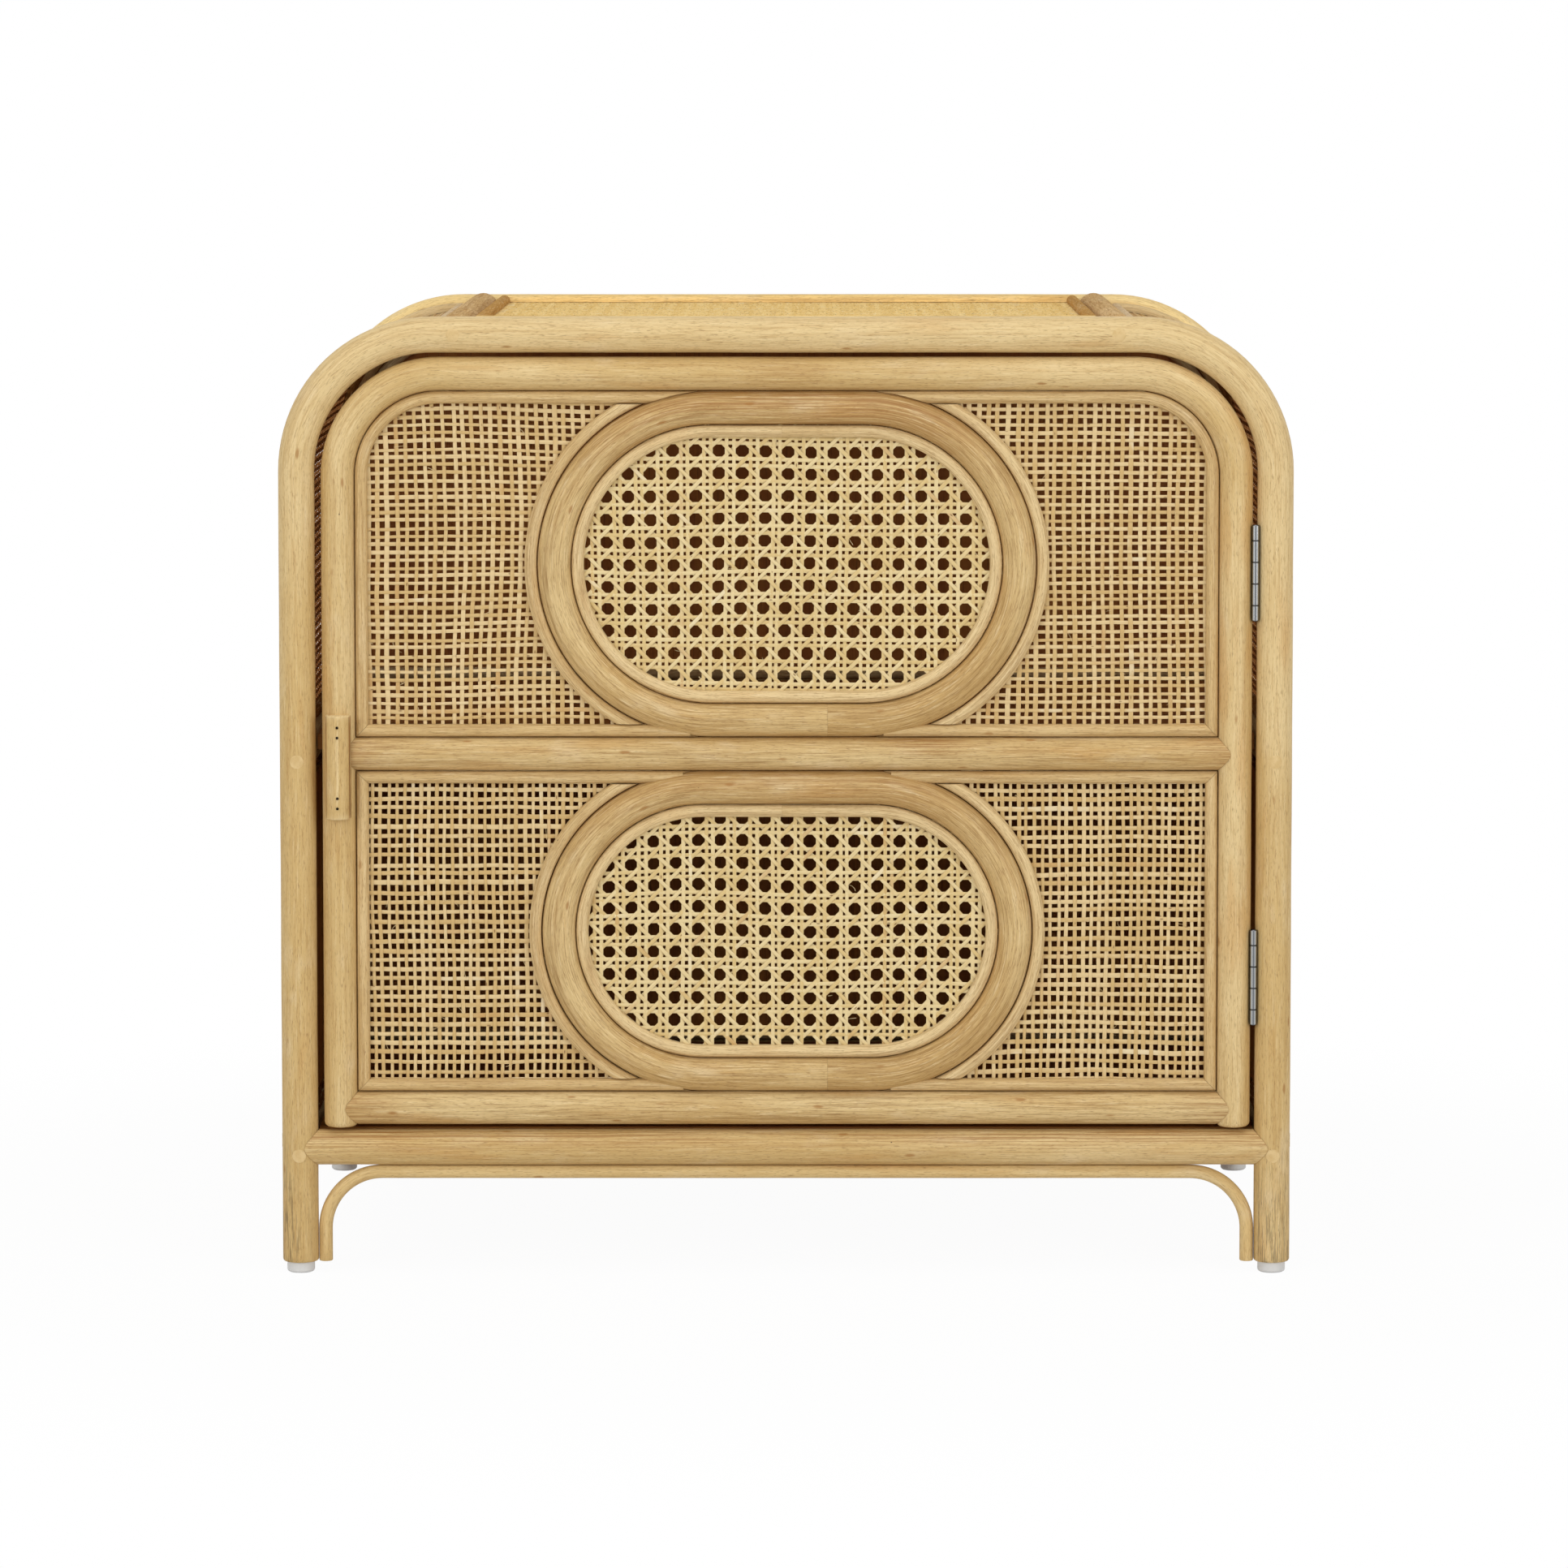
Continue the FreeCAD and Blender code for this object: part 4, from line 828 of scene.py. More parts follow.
for name, y, finish, seed in (("front_arch", front_y, pole, 11), ("rear_arch", rear_y, rear_pole, 12)):
    arch = arch_route((-leg_x, y, foot_z), (leg_x, y, foot_z), top_z, FRAME_BEND)
    pole_piece(name, arch, frame_radius, seed, finish=finish, ends=LEG_END_ROUND, marks=leg_marks,
               rough=ARCH_ROUGH)

coped = saddle(frame_radius)
for name, y, z, seed, marks in (("front_bottom_rail", front_y, bottom_rail_z, 21, sill_marks),
                                ("rear_bottom_rail", rear_y, bottom_rail_z, 22, sill_marks),
                                ("rear_mid_rail", rear_y, mid_rail_z, 23, None)):
    route = Route([(-leg_x, y, z), (leg_x, y, z)])
    pole_piece(name, route, frame_radius, seed, joints=(coped, coped), tone=0.6, marks=marks)

for side, sign in SIDES:
    x = sign * leg_x
    for level, z, front_rail, seed in (("bottom", bottom_rail_z, True, 31), ("mid", mid_rail_z, False, 33)):
        route = Route([(x, front_y, z), (x, rear_y, z)])
        joints = (corner_saddle(-sign, front_rail), corner_saddle(-sign, True))
        name = side + "_" + level + "_rail"
        pole_piece(name, route, frame_radius, seed + sign, X, joints=joints, tone=0.55)
    route = Route([(sign * bar_x, front_y, bar_z), (sign * bar_x, rear_y, bar_z)])
    under = saddle(frame_radius, top_z - bar_z, axis=1)
    pole_piece(side + "_crossbar", route, bar_radius, 36 + sign, X, bar_pole, "crossbar_pole",
               joints=(under, under), tone=0.6)
    brace(side + "_brace", (x, side_brace_low.y + brace_radius), (x, side_brace_high.y - brace_radius),
          42 + sign, X)
for name, y, seed in (("front_brace", front_y, 45), ("rear_brace", rear_y, 46)):
    brace(name, (-brace_x, y), (brace_x, y), seed, Y)

# Poles of the door

door_route = arch_route((latch_x, front_y, door_foot_z), (hinge_x, front_y, door_foot_z), door_top_z,
                        DOOR_BEND)
pole_piece("door_arch", door_route, door_radius, 51, body="door", ends=STILE_END_ROUND, marks=door_marks,
           rough=ARCH_ROUGH)
coped = saddle(door_radius)
for name, z, seed in (("door_mid_rail", door_mid_z, 52), ("door_bottom_rail", door_sill_z, 53)):
    route = Route([(latch_x, front_y, z), (hinge_x, front_y, z)])
    pole_piece(name, route, door_radius, seed, finish=rail_pole, body="door", joints=(coped, coped),
               marks=rail_marks)


class Bay:
    """One half of the door: its opening and the oval ring that fills its height."""

    def __init__(self, name, arched):
        self.name = name
        low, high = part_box(name + "_ring")
        self.bottom, self.top = low.z, high.z
        self.height = high.z - low.z
        self.z = (low.z + high.z) / 2
        self.straight = (high.x - low.x) / 2 - self.height / 2
        self.left = latch_x + door_radius + SEAM
        self.right = hinge_x - door_radius - SEAM
        self.corner = DOOR_BEND - door_radius - SEAM if arched else 0.0

    def oval(self, inset, joint, side, y):
        """A loop that starts at its joint, at the bottom for side -1 and at the top for side 1."""
        half = self.height / 2 - inset
        way = -side * (self.straight + half)
        spots = ((joint, side), (way, side), (way, -side), (-way, -side), (-way, side))
        return Route([(door_x + x, y, self.z + half * z) for x, z in spots], half, True)

    def from_ring(self, x, z):
        """Distance outwards from the outer line of the ring."""
        aside = np.maximum(np.abs(x - door_x) - self.straight, 0.0)
        return np.hypot(aside, z - self.z) - self.height / 2

    def from_edge(self, x, z):
        """Distance inwards from the opening's edge."""
        near = np.minimum(x - self.left, self.right - x)
        beside, below = near - self.corner, self.top - z - self.corner
        near = np.minimum(near, np.minimum(z - self.bottom, self.top - z))
        rounded = self.corner - np.hypot(np.minimum(beside, 0), np.minimum(below, 0))
        return np.where((beside < 0) & (below < 0), rounded, near) if self.corner else near

    def wedge(self, reach):
        """How far from the middle the space beside the ring has opened to a given height."""
        radius = self.height / 2
        return self.straight + np.sqrt(np.maximum(radius ** 2 - (radius - reach) ** 2, 0.0))


bays = (Bay("upper", True), Bay("lower", False))


# Strips

def mitre(side, inward):
    """Forty-five degree cut towards the neighbour that lies inward; side is the way across the strip."""
    share = float(side @ inward)
    return lambda across, above: across * share + MITRE_GAP


def straight_strip(shape, start, end, lift, first, last, section=TRIM_SECTION, tone=0.5):
    """A strip mitred towards the neighbours at its ends; last may also be a cut of its own."""
    side = np.cross(unit(np.subtract(end, start)), lift)
    last = last if callable(last) else mitre(side, last)
    along_route(shape, Route([start, end]), section, flat=lift, start=mitre(side, first), end=last,
                clear=TRIM_WIDTH, rough=STRIP_ROUGH, tone=tone)


def bent_strip(shape, route, cuts, tone=0.5, clear=TRIM_WIDTH, **lies):
    along_route(shape, route, TRIM_SECTION, start=cuts[0], end=cuts[1], clear=clear, rough=BENT_STRIP_ROUGH,
                tone=tone, **lies)


def strip_frame(shape, low, high, lift, section=TRIM_SECTION, tones=(0.5, 0.5, 0.5, 0.5)):
    """Four mitred strips round an opening, given by its lowest and highest corner."""
    first, second = [axis for axis in range(3) if low[axis] != high[axis]]
    corners = [[(high if axis in raised else low)[axis] for axis in range(3)]
               for raised in ((), (first,), (first, second), (second,))]
    for index, tone in enumerate(tones):
        before, start, end, after = [corners[(index + step) % 4] for step in (-1, 0, 1, 2)]
        ways = [unit(np.subtract(*pair)) for pair in ((before, start), (after, end))]
        straight_strip(shape, start, end, lift, *ways, section, tone)


def run_out(bay, along, lift, rise):
    """End of a strip that thins out between the ring and a rail; rise is 1 below the ring and -1 above it."""
    toward = rise * np.cross(along, lift)[2]

    def cut(across, above):
        return bay.wedge(np.maximum(trim_half + across * toward, WEDGE_TIP)) - bay.straight
    return cut


def round_strip(shape, bay, lift, y, side):
    """Arc outside one end of the ring, its ends cut level where they meet the straight strips."""
    across, above = TRIM_SECTION.T
    limit = bay.height / 2 - TRIM_WIDTH - 2 * SEAM
    radius = bay.height / 2 + trim_half + 2 * SEAM + across
    angle = np.linspace(-1, 1, 64)[:, None] * np.arcsin(np.clip(limit / radius, -1, 1))
    x = door_x + side * (bay.straight + radius * np.cos(angle))
    rings = np.stack(np.broadcast_arrays(x, y + lift[1] * above, bay.z + radius * np.sin(angle)), axis=2)
    origin = shape.random.uniform(0, 4)
    grain = np.stack(np.broadcast_arrays(angle * bay.height / 2 + origin, across + origin, above), axis=2)
    shape.add(rings, grain, (0.4, 0.0, 0.0))


for bay in bays:
    shape = Shape(61)
    along_route(shape, bay.oval(door_radius, RING_JOINT, -1, front_y), round_section(door_radius), upright=Y,
                marks=ring_marks(bay))
    shape.piece(bay.name + "_ring_pole", "door", bay.name + "_ring", ring_pole, "ring_pole")

    ring_trims, panel_trims = Shape(62), Shape(63)
    low, high = bay.bottom + trim_half, bay.top - trim_half
    for lift in (-Y, Y):
        y = front_y + lift[1] * sheet / 2
        loop = bay.oval(2 * door_radius + SEAM + trim_half, TRIM_JOINT, 1, y)
        along_route(ring_trims, loop, TRIM_SECTION, flat=lift, tone=0.1)
        for side in (-1, 1):
            round_strip(ring_trims, bay, lift, y, side)
            edge = bay.left + trim_half if side < 0 else bay.right - trim_half
            stop = door_x + side * bay.straight
            inward = -side * X
            straight_strip(panel_trims, (edge, y, low), (stop, y, low), lift, Z,
                           run_out(bay, inward, lift, 1), tone=0.8)
            if bay.corner:
                route = Route([(stop, y, high), (edge, y, high), (edge, y, low)], bay.corner - trim_half)
                cuts = (run_out(bay, -inward, lift, -1), mitre(np.cross(-Z, lift), inward))
                bent_strip(panel_trims, route, cuts, 0.8, RUN_OUT_LENGTH, flat=lift)
            else:
                straight_strip(panel_trims, (edge, y, high), (stop, y, high), lift, -Z,
                               run_out(bay, inward, lift, -1), tone=0.8)
                straight_strip(panel_trims, (edge, y, low), (edge, y, high), lift, inward, inward, tone=0.7)
    ring_trims.piece(bay.name + "_ring_strips", "door", bay.name + "_ring_trims", trim, "split_rattan")
    panel_trims.piece(bay.name + "_panel_strips", "door", bay.name + "_panel_trims", trim, "split_rattan")

# Pull, lower than its nail heads

shape = Shape(71)
pull_back = front_y - math.sqrt(door_radius ** 2 - (PULL_WIDTH / 2) ** 2)
pull_section = strip_section(PULL_WIDTH, pull_back - pull_low.y - NAIL_STAND, 17)
pull_route = Route([(latch_x, pull_back, pull_low.z), (latch_x, pull_back, pull_high.z)])
along_route(shape, pull_route, pull_section, flat=-Y, ends=PULL_END_ROUND, marks=pull_marks, rough=POLE_ROUGH)
shape.piece("pull_strip", "door", "pull_handle", pole, "rattan_pole")

# Top, side and back strips

shape = Shape(72)
edge_x = top_high.x - trim_half
edge_front, edge_rear = top_low.y + trim_half, top_high.y - trim_half
strip_frame(shape, (-edge_x, edge_front, top_high.z), (edge_x, edge_rear, top_high.z), Z,
            strip_section(TRIM_WIDTH, TOP_TRIM_HEIGHT), (-0.6, 2.0, -0.6, 2.0))
shape.piece("top_strips", "cabinet", "top_trims", top_trim, "split_rattan")

upper_foot = upper_low + trim_half
panel_foot, panel_head = panel_low.z + trim_half, panel_high.z - trim_half
bar_edge = bar_x + bar_radius + SEAM
# The strips beside the crossbars sit a little way into the bend
bend_reach = max(bar_edge + TRIM_WIDTH - (leg_x - FRAME_BEND), 0.0)
bend_sag = FRAME_BEND - math.sqrt(FRAME_BEND ** 2 - bend_reach ** 2) + SEAM
head_turn = math.acos((bar_edge + trim_half - leg_x + FRAME_BEND) / FRAME_BEND)
for side, sign in SIDES:
    outward = sign * X
    head_x = sign * (bar_edge + trim_half)
    # The inner strips take the darker trim, which is painted shade
    for face, name, finish in ((1, "_side_strips", trim), (-1, "_inner_strips", inner_shaded_trim)):
        shape = Shape(73 + sign + 4 * face)
        grow = face * sheet / 2
        lift = outward * face
        across = Y * sign * face
        x = sign * (leg_x + grow)
        bend = FRAME_BEND + grow
        for y, inward in ((edge_front, Y), (edge_rear, -Y)):
            route = Route([(x, y, upper_foot), (x, y, top_z + grow), (0, y, top_z + grow)], bend)
            route.length = route.runs[1][0] + bend * head_turn
            bent_strip(shape, route, [mitre(across, inward)] * 2, upright=across)
        straight_strip(shape, (x, edge_front, upper_foot), (x, edge_rear, upper_foot), lift, Z, Z)
        head_z = top_z + grow - (bend_sag if face < 0 else 0.0)
        straight_strip(shape, (head_x, edge_front, head_z), (head_x, edge_rear, head_z), Z * face, outward,
                       outward, tone=1.6)
        x = sign * (leg_x + face * (panel_high.x - panel_low.x) / 2)
        strip_frame(shape, (x, edge_front, panel_foot), (x, edge_rear, panel_head), lift)
        shape.piece(side + name, "cabinet", side + "_side_trims", finish, "split_rattan")

shape = Shape(75)
trim_x = back_high.x - trim_half
back_foot, back_head = back_low.z + trim_half, back_high.z - trim_half
inset = frame_radius + SEAM + trim_half
for lift in (-Y, Y):
    y = rear_y + lift[1] * (back_high.y - back_low.y) / 2
    route = arch_route((-trim_x, y, upper_foot), (trim_x, y, upper_foot), top_z - inset, FRAME_BEND - inset)
    bent_strip(shape, route, (mitre(np.cross(Z, lift), X), mitre(np.cross(-Z, lift), -X)), flat=lift)
    straight_strip(shape, (-trim_x, y, upper_foot), (trim_x, y, upper_foot), lift, Z, Z)
    strip_frame(shape, (-trim_x, y, back_foot), (trim_x, y, back_head), lift)
shape.piece("back_strips", "cabinet", "back_trims", trim, "split_rattan")


# Woven sheets

class FlatSheet:
    """A flat sheet: u runs across it and v up it, and h stands off its face."""

    def __init__(self, origin, across, up, face):
        self.origin = np.array(origin, float)
        self.ways = (across, up, face)

    def place(self, *spot):
        return self.origin + sum(np.multiply.outer(part, way) for part, way in zip(spot, self.ways))

    def axes(self, u, v):
        return [np.broadcast_to(way, u.shape + (3,)) for way in self.ways]


class BentSheet:
    """The side sheet: v follows the bend of the frame, u runs from front to rear."""

    def __init__(self, route, across):
        self.route = route
        self.across = across

    def place(self, u, v, h):
        points, along = self.route.at(np.clip(v, 0, self.route.length))
        return points + np.multiply.outer(u, self.across) + np.cross(self.across, along) * h[:, None]

    def axes(self, u, v):
        points, along = self.route.at(np.clip(v, 0, self.route.length))
        return np.broadcast_to(self.across, points.shape), along, np.cross(self.across, along)


def wander(seed, size, length):
    """A gentle field that pulls strands of a sheet out of line, the same for warp and weft."""
    random = np.random.default_rng(seed)
    waves = random.uniform(-1, 1, (6, 2)) / length
    phases = random.uniform(0, 2 * math.pi, 6)
    shares = random.uniform(0.4, 1.0, 6) * size / 3

    def field(u, v):
        total = np.zeros_like(u)
        for (first, second), phase, share in zip(waves, phases, shares):
            total = total + share * np.sin(2 * math.pi * (u * first + v * second) + phase)
        return total
    return field


def ribbon(shape, spots, side, face, width, thickness, tint):
    """One flat strand; the last part of its tint says how far up its edges the brown of its back comes, a
    brown that is partly painted shade.
    """
    section = RIBBON * [1.0, thickness]
    wide = np.broadcast_to(np.asarray(width, float), len(spots))
    across = section[:, 0] * wide[:, None]
    above = np.broadcast_to(section[:, 1], across.shape)
    rings = spots[:, None, :] + side[:, None, :] * across[..., None] + face[:, None, :] * above[..., None]
    gone = np.concatenate([[0.0], np.cumsum(np.linalg.norm(np.diff(spots, axis=0), axis=1))])
    origin = shape.random.uniform(0, 4)
    grain = np.stack([np.broadcast_to(gone[:, None] + origin, across.shape), across + origin, above], axis=2)
    brown = np.broadcast_to(section[:, 1] < tint[2] * thickness, across.shape)
    shape.add(rings, grain, tints(tint[0], tint[1], brown))


def stretches(inside, least=4):
    """First and past-last index of each unbroken stretch inside the outline."""
    edges = np.flatnonzero(np.diff(np.concatenate([[0], inside.astype(int), [0]])))
    return [(first, last) for first, last in zip(edges[::2], edges[1::2]) if last - first >= least]


def strand(shape, sheet_place, inside, fields, u, v, height, heading, wide, thickness, edge=0.0):
    """Lay one strand where it is inside the outline; heading is its way in u and v."""
    u, v = u + fields[0](u, v), v + fields[1](u, v)
    tint = (shape.random.uniform(0, 1), shape.random.uniform(0, 1), edge)
    for begin, end in stretches(inside(u, v)):
        part = slice(begin, end)
        across, up, face = sheet_place.axes(u[part], v[part])
        side = across * -heading[1] + up * heading[0]
        ribbon(shape, sheet_place.place(u[part], v[part], height[part]), side, face, wide, thickness, tint)


def woven(warp, weft, sheet_place, inside, u_span, v_span, pitch, width, samples, fields, bow=STRAND_BOW,
          edge=0.0, thickness=STRAND_THICKNESS):
    """Plain weave, over one and under one, in both directions."""
    counts = [int((span[1] - span[0]) / step) for span, step in zip((u_span, v_span), pitch)]
    starts = [(sum(span) - count * step) / 2 for span, count, step in zip((u_span, v_span), counts, pitch)]
    for way, shape in enumerate((warp, weft)):
        count, other = counts[way], counts[1 - way]
        random = shape.random
        for line in range(count + 1):
            steps = np.linspace(-0.5, other + 0.5, (other + 1) * samples + 1)
            seed = int(random.integers(1 << 30))
            fixed = line + random.normal(0, STRAND_STRAY) + STRAND_STRAY * drift(seed, steps, 14.0)
            first, second = (fixed, steps) if way == 0 else (steps, fixed)
            u, v = starts[0] + first * pitch[0], starts[1] + second * pitch[1]
            height = bow * np.cos(math.pi * steps + math.pi * (line % 2)) * (1 - 2 * way)
            wide = width[way] * random.uniform(0.82, 1.18)
            heading = ((0, -1), (1, 0))[way]
            strand(shape, sheet_place, inside, fields, u, v, height, heading, wide, thickness, edge)


def frays(shape, sheet_place, inside, u_span, v_span, count):
    """Loose fibres that stand off the sheet."""
    random = shape.random
    made = 0
    for attempt in range(count * 6):
        u = random.uniform(*u_span)
        v = random.uniform(*v_span)
        if made == count or not bool(inside(np.array([u]), np.array([v]))[0]):
            continue
        made += 1
        length = random.uniform(*FRAY_LENGTH)
        angle = random.uniform(0, 2 * math.pi)
        curl = random.uniform(-1.5, 1.5)
        gone = np.linspace(0, 1, FRAY_POINTS)
        turn = angle + curl * gone
        us = u + length * np.cumsum(np.cos(turn)) / FRAY_POINTS
        vs = v + length * np.cumsum(np.sin(turn)) / FRAY_POINTS
        spots = sheet_place.place(us, vs, 0.0006 + 0.0012 * np.sin(gone * 2.2))
        across, up, face = sheet_place.axes(us, vs)
        side = -np.sin(turn)[:, None] * across + np.cos(turn)[:, None] * up
        ribbon(shape, spots, side, face, 0.0003 - 0.0002 * gone, FRAY_THICKNESS, (0.2, 0.5, 0.0))


door_sheet = FlatSheet((0, front_y, 0), X, Z, -Y)
for bay in bays:
    for side, sign in SIDES:
        shape = Shape(81 + sign + (10 if bay.corner else 0))
        inside = lambda u, v: ((bay.from_ring(u, v) > 0.0008) & (bay.from_edge(u, v) > 0.0006)
                               & (np.abs(u - door_x) > bay.wedge(TRIM_WIDTH * 0.6))
                               & ((u - door_x) * sign > 0))
        clear = lambda u, v: (bay.from_ring(u, v) > 0.010) & (bay.from_edge(u, v) > 0.010)
        u_span = (bay.left, door_x) if sign < 0 else (door_x, bay.right)
        v_span = (bay.bottom, bay.top)
        seed = 100 + int(bay.z * 1000) + sign
        pitch = (WIDE_PITCH, NARROW_PITCH) if bay.corner else (NARROW_PITCH, WIDE_PITCH)
        width = [part * STRAND_SHARE for part in pitch]
        fields = (wander(seed, 0.0016, 0.16), wander(seed + 7, 0.0013, 0.14))
        woven(shape, shape, door_sheet, inside, u_span, v_span, pitch, width, 4, fields)
        frays(shape, door_sheet, clear, u_span, v_span, 22)
        name = bay.name + "_" + side
        shape.piece(name + "_weave", "door", name + "_webbing", webbing, "webbing")

for side, sign in SIDES:
    # This sheet follows the bend of the frame
    route = Route([(sign * leg_x, 0, upper_low), (sign * leg_x, 0, top_z), (sign * bar_edge, 0, top_z)],
                  FRAME_BEND)
    u_span = sorted((top_low.y * sign, top_high.y * sign))
    inside = lambda u, v: (u > u_span[0]) & (u < u_span[1]) & (v > 0) & (v < route.length)
    fields = (wander(131 + sign, 0.0014, 0.2), wander(135 + sign, 0.0012, 0.2))
    pitch = (WIDE_PITCH, NARROW_PITCH)
    width = [part * SIDE_STRAND_SHARE for part in pitch]
    warp, weft = Shape(141 + sign), Shape(145 + sign)
    # The brown back of the side strands comes up their edges as painted shade
    woven(warp, weft, BentSheet(route, Y * sign), inside, u_span, (0, route.length), pitch, width, 3, fields,
          edge=0.3, thickness=SIDE_STRAND_THICKNESS)
    warp.piece(side + "_side_warp", "cabinet", side + "_webbing", side_webbing, "webbing")
    weft.piece(side + "_side_weft", "cabinet", side + "_webbing", side_webbing, "webbing")

warp, weft = Shape(151), Shape(152)
top_sheet = FlatSheet((0, 0, (top_low.z + top_high.z) / 2), X, Y, Z)
inside = lambda u, v: (u > top_low.x) & (u < top_high.x) & (v > top_low.y) & (v < top_high.y)
woven(warp, weft, top_sheet, inside, (top_low.x, top_high.x), (top_low.y, top_high.y), (TOP_PITCH, TOP_PITCH),
      (TOP_WIDTH, TOP_WIDTH), 2, (wander(153, 0.0008, 0.2), wander(154, 0.0008, 0.2)), STRAND_BOW * 0.9)
warp.piece("top_warp", "cabinet", "top_webbing", top_webbing, "webbing")
weft.piece("top_weft", "cabinet", "top_webbing", top_webbing, "webbing")


def caned(bay, pairs, diagonals, seed):
    """Octagonal cane: upright and level pairs, and diagonals that each go over one set of pairs."""
    place = FlatSheet((door_x, front_y, bay.z), X, Z, -Y)
    rim = 2 * door_radius + SEAM
    fields = (wander(seed, 0.0014, 0.14), wander(seed + 1, 0.0016, 0.12))
    columns = int((bay.straight + bay.height / 2 - rim) / CANE_PITCH) + 1
    rows = int((bay.height / 2 - rim) / CANE_PITCH) + 1

    def inside(u, v):
        return bay.from_ring(u + door_x, v + bay.z) < -rim + 0.0002

    def lay(shape, u, v, height, heading):
        wide = CANE_STRAND * shape.random.uniform(0.92, 1.08)
        strand(shape, place, inside, fields, u, v, height, heading, wide, CANE_THICKNESS)

    def stray(shape):
        return float(shape.random.normal(0, CANE_STRAY))

    def points(reach):
        return np.linspace(-reach, reach, 2 * reach * POINTS_PER_HOLE + 1)

    for upright, lines, run in ((True, columns, points(rows)), (False, rows, points(columns))):
        for line in range(-lines, lines):
            for step, lean in ((-1, 0), (1, 1)):
                fixed = np.full_like(run, (line + 0.5) * CANE_PITCH + step * CANE_PAIR_OFFSET) + stray(pairs)
                over = CANE_BOW * np.cos(math.pi * (np.floor(run) + line + lean))
                over = over * (0.5 - 0.5 * np.cos(2 * math.pi * run))
                if upright:
                    lay(pairs, fixed, run * CANE_PITCH, over, (0.0, 1.0))
                else:
                    lay(pairs, run * CANE_PITCH, fixed, -over, (1.0, 0.0))
    slope = math.sqrt(0.5)
    u = points(columns)
    for line in range(-columns - rows, columns + rows):
        for lean in (-1, 1):
            height = DIAGONAL_BOW * np.cos(2 * math.pi * u) * lean
            lay(diagonals, u * CANE_PITCH + stray(diagonals), (line + 0.5 + lean * u) * CANE_PITCH, height,
                (slope, lean * slope))


for bay, seed in zip(bays, (161, 171)):
    pairs, diagonals = Shape(seed + 3), Shape(seed + 4)
    caned(bay, pairs, diagonals, seed)
    clear = lambda u, v: bay.from_ring(u, v) < -0.032
    half = bay.straight + bay.height / 2
    frays(diagonals, door_sheet, clear, (door_x - half, door_x + half), (bay.bottom, bay.top), 16)
    pairs.piece(bay.name + "_cane_pairs", "door", bay.name + "_cane", cane, "cane")
    diagonals.piece(bay.name + "_cane_diagonals", "door", bay.name + "_cane", cane, "cane")

# Boards, metal, plastic and plugs keep their solids and get their finish and softened edges

for finish, edge, names in (
        (veneer, 0.0003, ["top_board"]),
        (veneer, 0.0006, ["shelf_board", "floor_board"]),
        (upright_veneer, 0.0004, ["left_panel", "right_panel", "upper_back_panel", "lower_back_panel"]),
        (white_plastic, 0.0, ["foot_glides"]),
        (brown_plastic, 0.0006, ["catch_body"]),
        (filler, 0.0, ["frame_plugs"]),
        (hinge_zinc, 0.0, ["hinge_frame_leaves", "hinge_door_leaves"]),
        (dark_iron, 0.0, ["hinge_pins"]),
        (dark_iron, 0.0002, ["catch_magnet"]),
        (zinc, 0.0, ["frame_screws", "hinge_frame_screws", "hinge_door_screws"]),
        (zinc, 0.0, ["catch_screws", "strike_screws"]),
        (zinc, 0.0002, ["strike_plate"]),
        (nail_iron, 0.0, ["handle_nails"])):
    for name in names:
        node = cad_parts[name]
        node.data.materials.clear()
        node.data.materials.append(finish)
        if name == "frame_plugs":
            proud = node.modifiers.new("proud", "DISPLACE")
            proud.strength = PLUG_STAND
            proud.mid_level = 0.0
        if edge:
            bevel = node.modifiers.new("softened_edges", "BEVEL")
            bevel.width = edge
            bevel.segments = 2
            bevel.limit_method = "ANGLE"


# Floor, light and camera

def floor_finish(name):
    """Matt floor that looks white to the camera, a little less so close to the cabinet."""
    finish = Finish(name)
    place = finish.place()
    base = (place.noise((3, 3), 3) * 0.3).blend((0.86, 0.86, 0.86, 1.0), (0.82, 0.82, 0.82, 1.0))
    matt = finish.add("ShaderNodeBsdfDiffuse", None, {"Color": base})
    white = finish.add("ShaderNodeEmission", None, {"Color": (1, 1, 1, 1), "Strength": 1.0})
    away = finish.add("ShaderNodeVectorMath", {"operation": "LENGTH"}, {0: place}, "Value")
    share = finish.seen() * (0.96 + 0.04 * away.fade(0.45, 0.9))
    mixed = finish.add("ShaderNodeMixShader", None, {0: share, 1: matt, 2: white})
    finish.add("ShaderNodeOutputMaterial", None, {"Surface": mixed})
    return finish.material


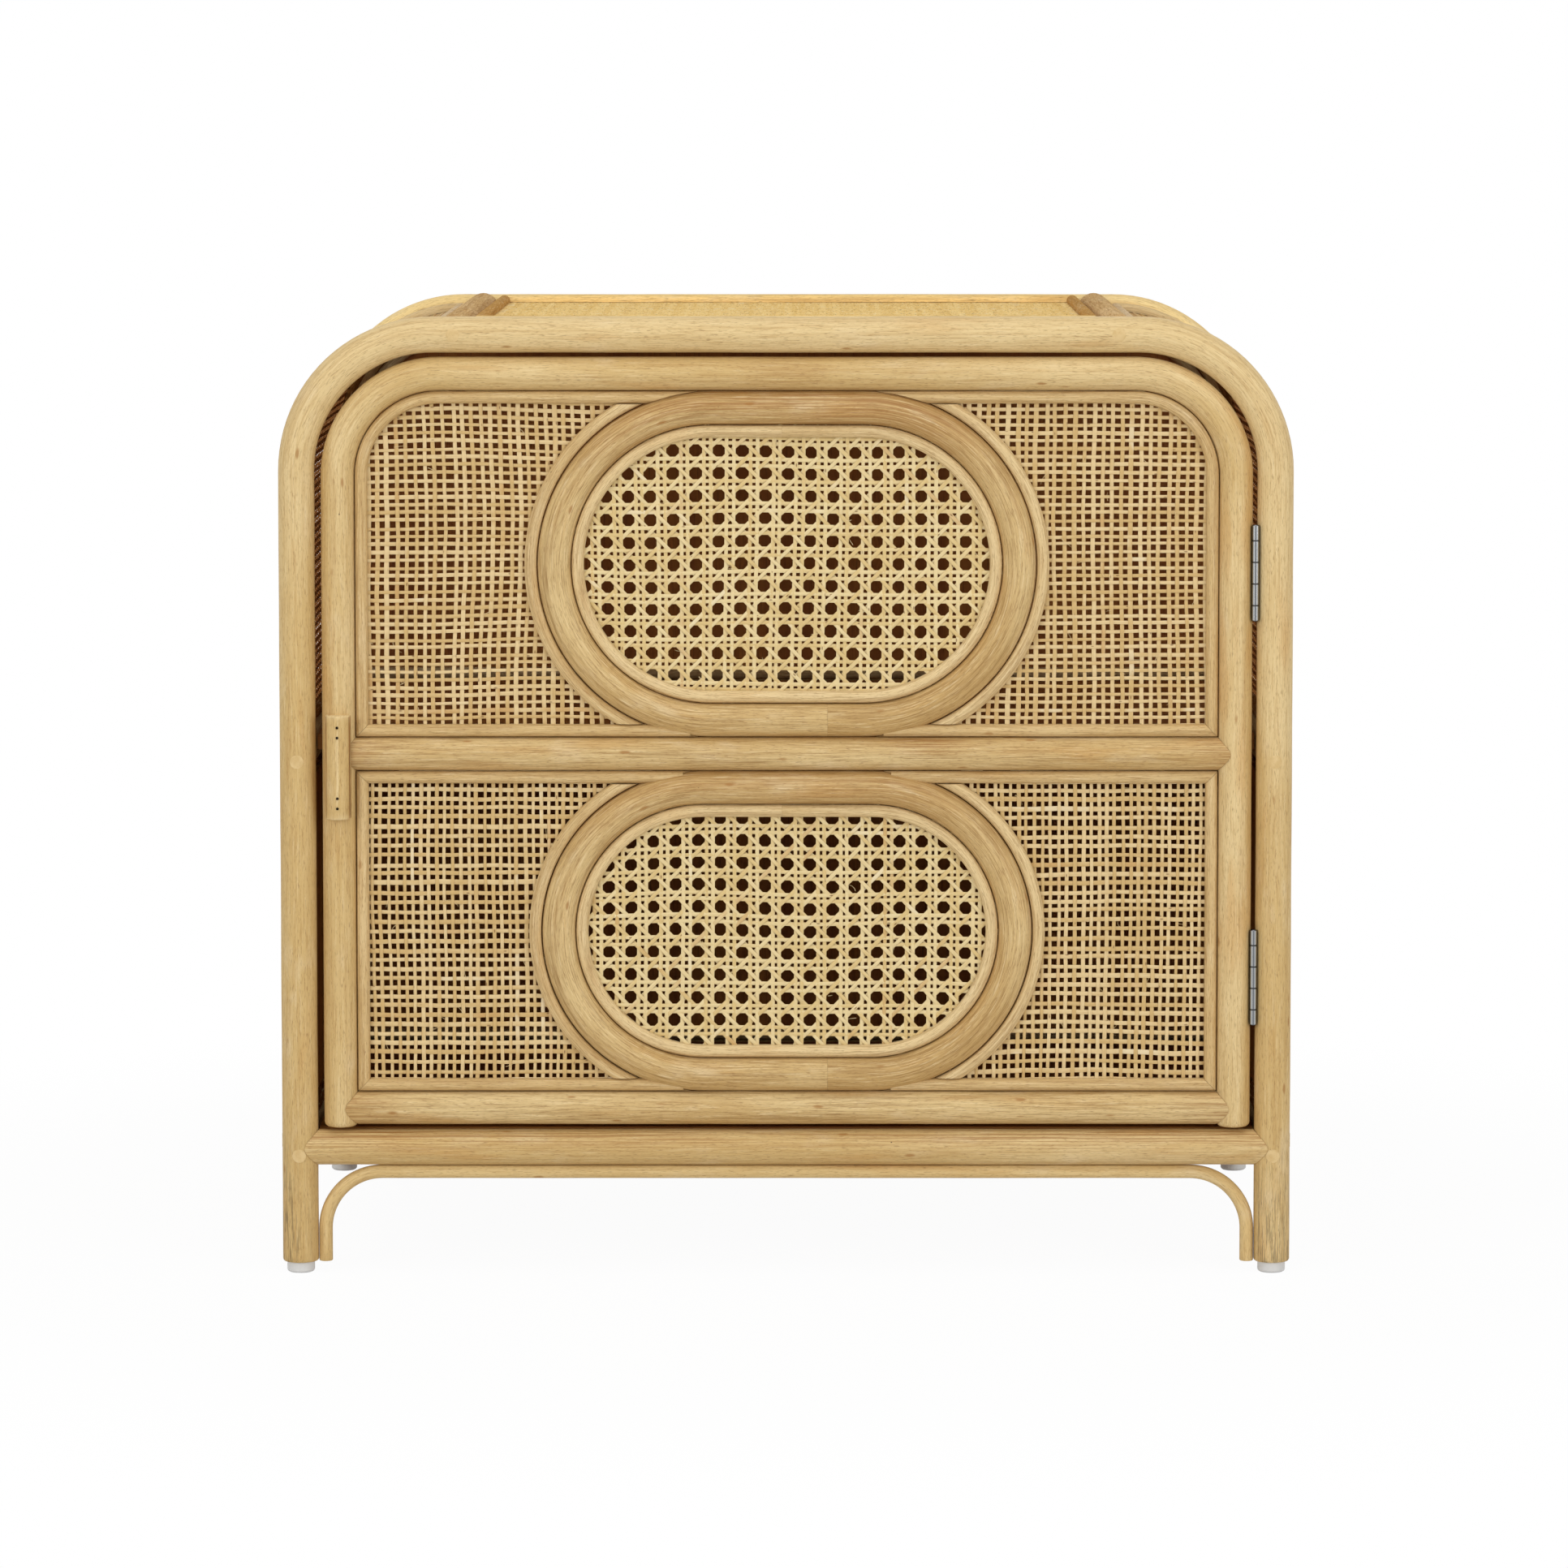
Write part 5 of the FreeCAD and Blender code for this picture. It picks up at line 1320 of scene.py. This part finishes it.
mesh = bpy.data.meshes.new("floor")
floor_corners = [(x * FLOOR_HALF, y * FLOOR_HALF, 0) for x, y in ((-1, -1), (1, -1), (1, 1), (-1, 1))]
mesh.from_pydata(floor_corners, [], [(0, 1, 2, 3)])
mesh.materials.append(floor_finish("pale_floor"))
floor = put("floor", mesh)

world = bpy.data.worlds.new("studio")
bpy.context.scene.world = world
studio = Finish("studio", world)
white = studio.add("ShaderNodeBackground", None, {"Color": (1, 1, 1, 1), "Strength": 1.0})
soft = studio.add("ShaderNodeBackground", None, {"Color": (1.0, 0.985, 0.96, 1), "Strength": 0.46})
mixed = studio.add("ShaderNodeMixShader", None, {0: studio.seen(), 1: soft, 2: white})
studio.add("ShaderNodeOutputWorld", None, {"Surface": mixed})

# Each soft light: where it stands, where it aims, its two sizes in metres and its power in watts
for name, spot, aim, size, power in (
        ("overhead", (0.0, -0.9, 2.6), (0, 0, 0.4), (2.4, 1.8), 21),
        ("front_left", (-1.9, -2.6, 1.2), (0, 0, 0.3), (1.6, 1.6), 27),
        ("front_right", (2.1, -2.5, 1.1), (0, 0, 0.3), (1.6, 1.6), 27)):
    lamp = bpy.data.lights.new(name, "AREA")
    lamp.shape = "RECTANGLE"
    lamp.size, lamp.size_y = size
    lamp.energy = power
    holder = put(name, lamp)
    holder.location = spot
    heading = Vector(aim) - Vector(spot)
    holder.rotation_mode = "QUATERNION"
    holder.rotation_quaternion = heading.to_track_quat("-Z", "Y")

camera = bpy.data.cameras.new("camera")
holder = put("camera", camera)
# The photo keeps uprights upright, so the camera tilts less than it would, and a shift makes up the rest
holder.location = (EYE_X, front_y - EYE_DISTANCE, EYE_Z)
holder.rotation_euler = (math.pi / 2 - CAMERA_TILT, 0, 0)
camera.sensor_width = SENSOR_WIDTH
camera.lens = SENSOR_WIDTH * LENS_LENGTH
camera.shift_x = SHIFT_X
camera.shift_y = SHIFT_Y
camera.clip_start, camera.clip_end = 0.05, 50
bpy.context.scene.camera = holder
bpy.context.scene.view_settings.view_transform = "Standard"
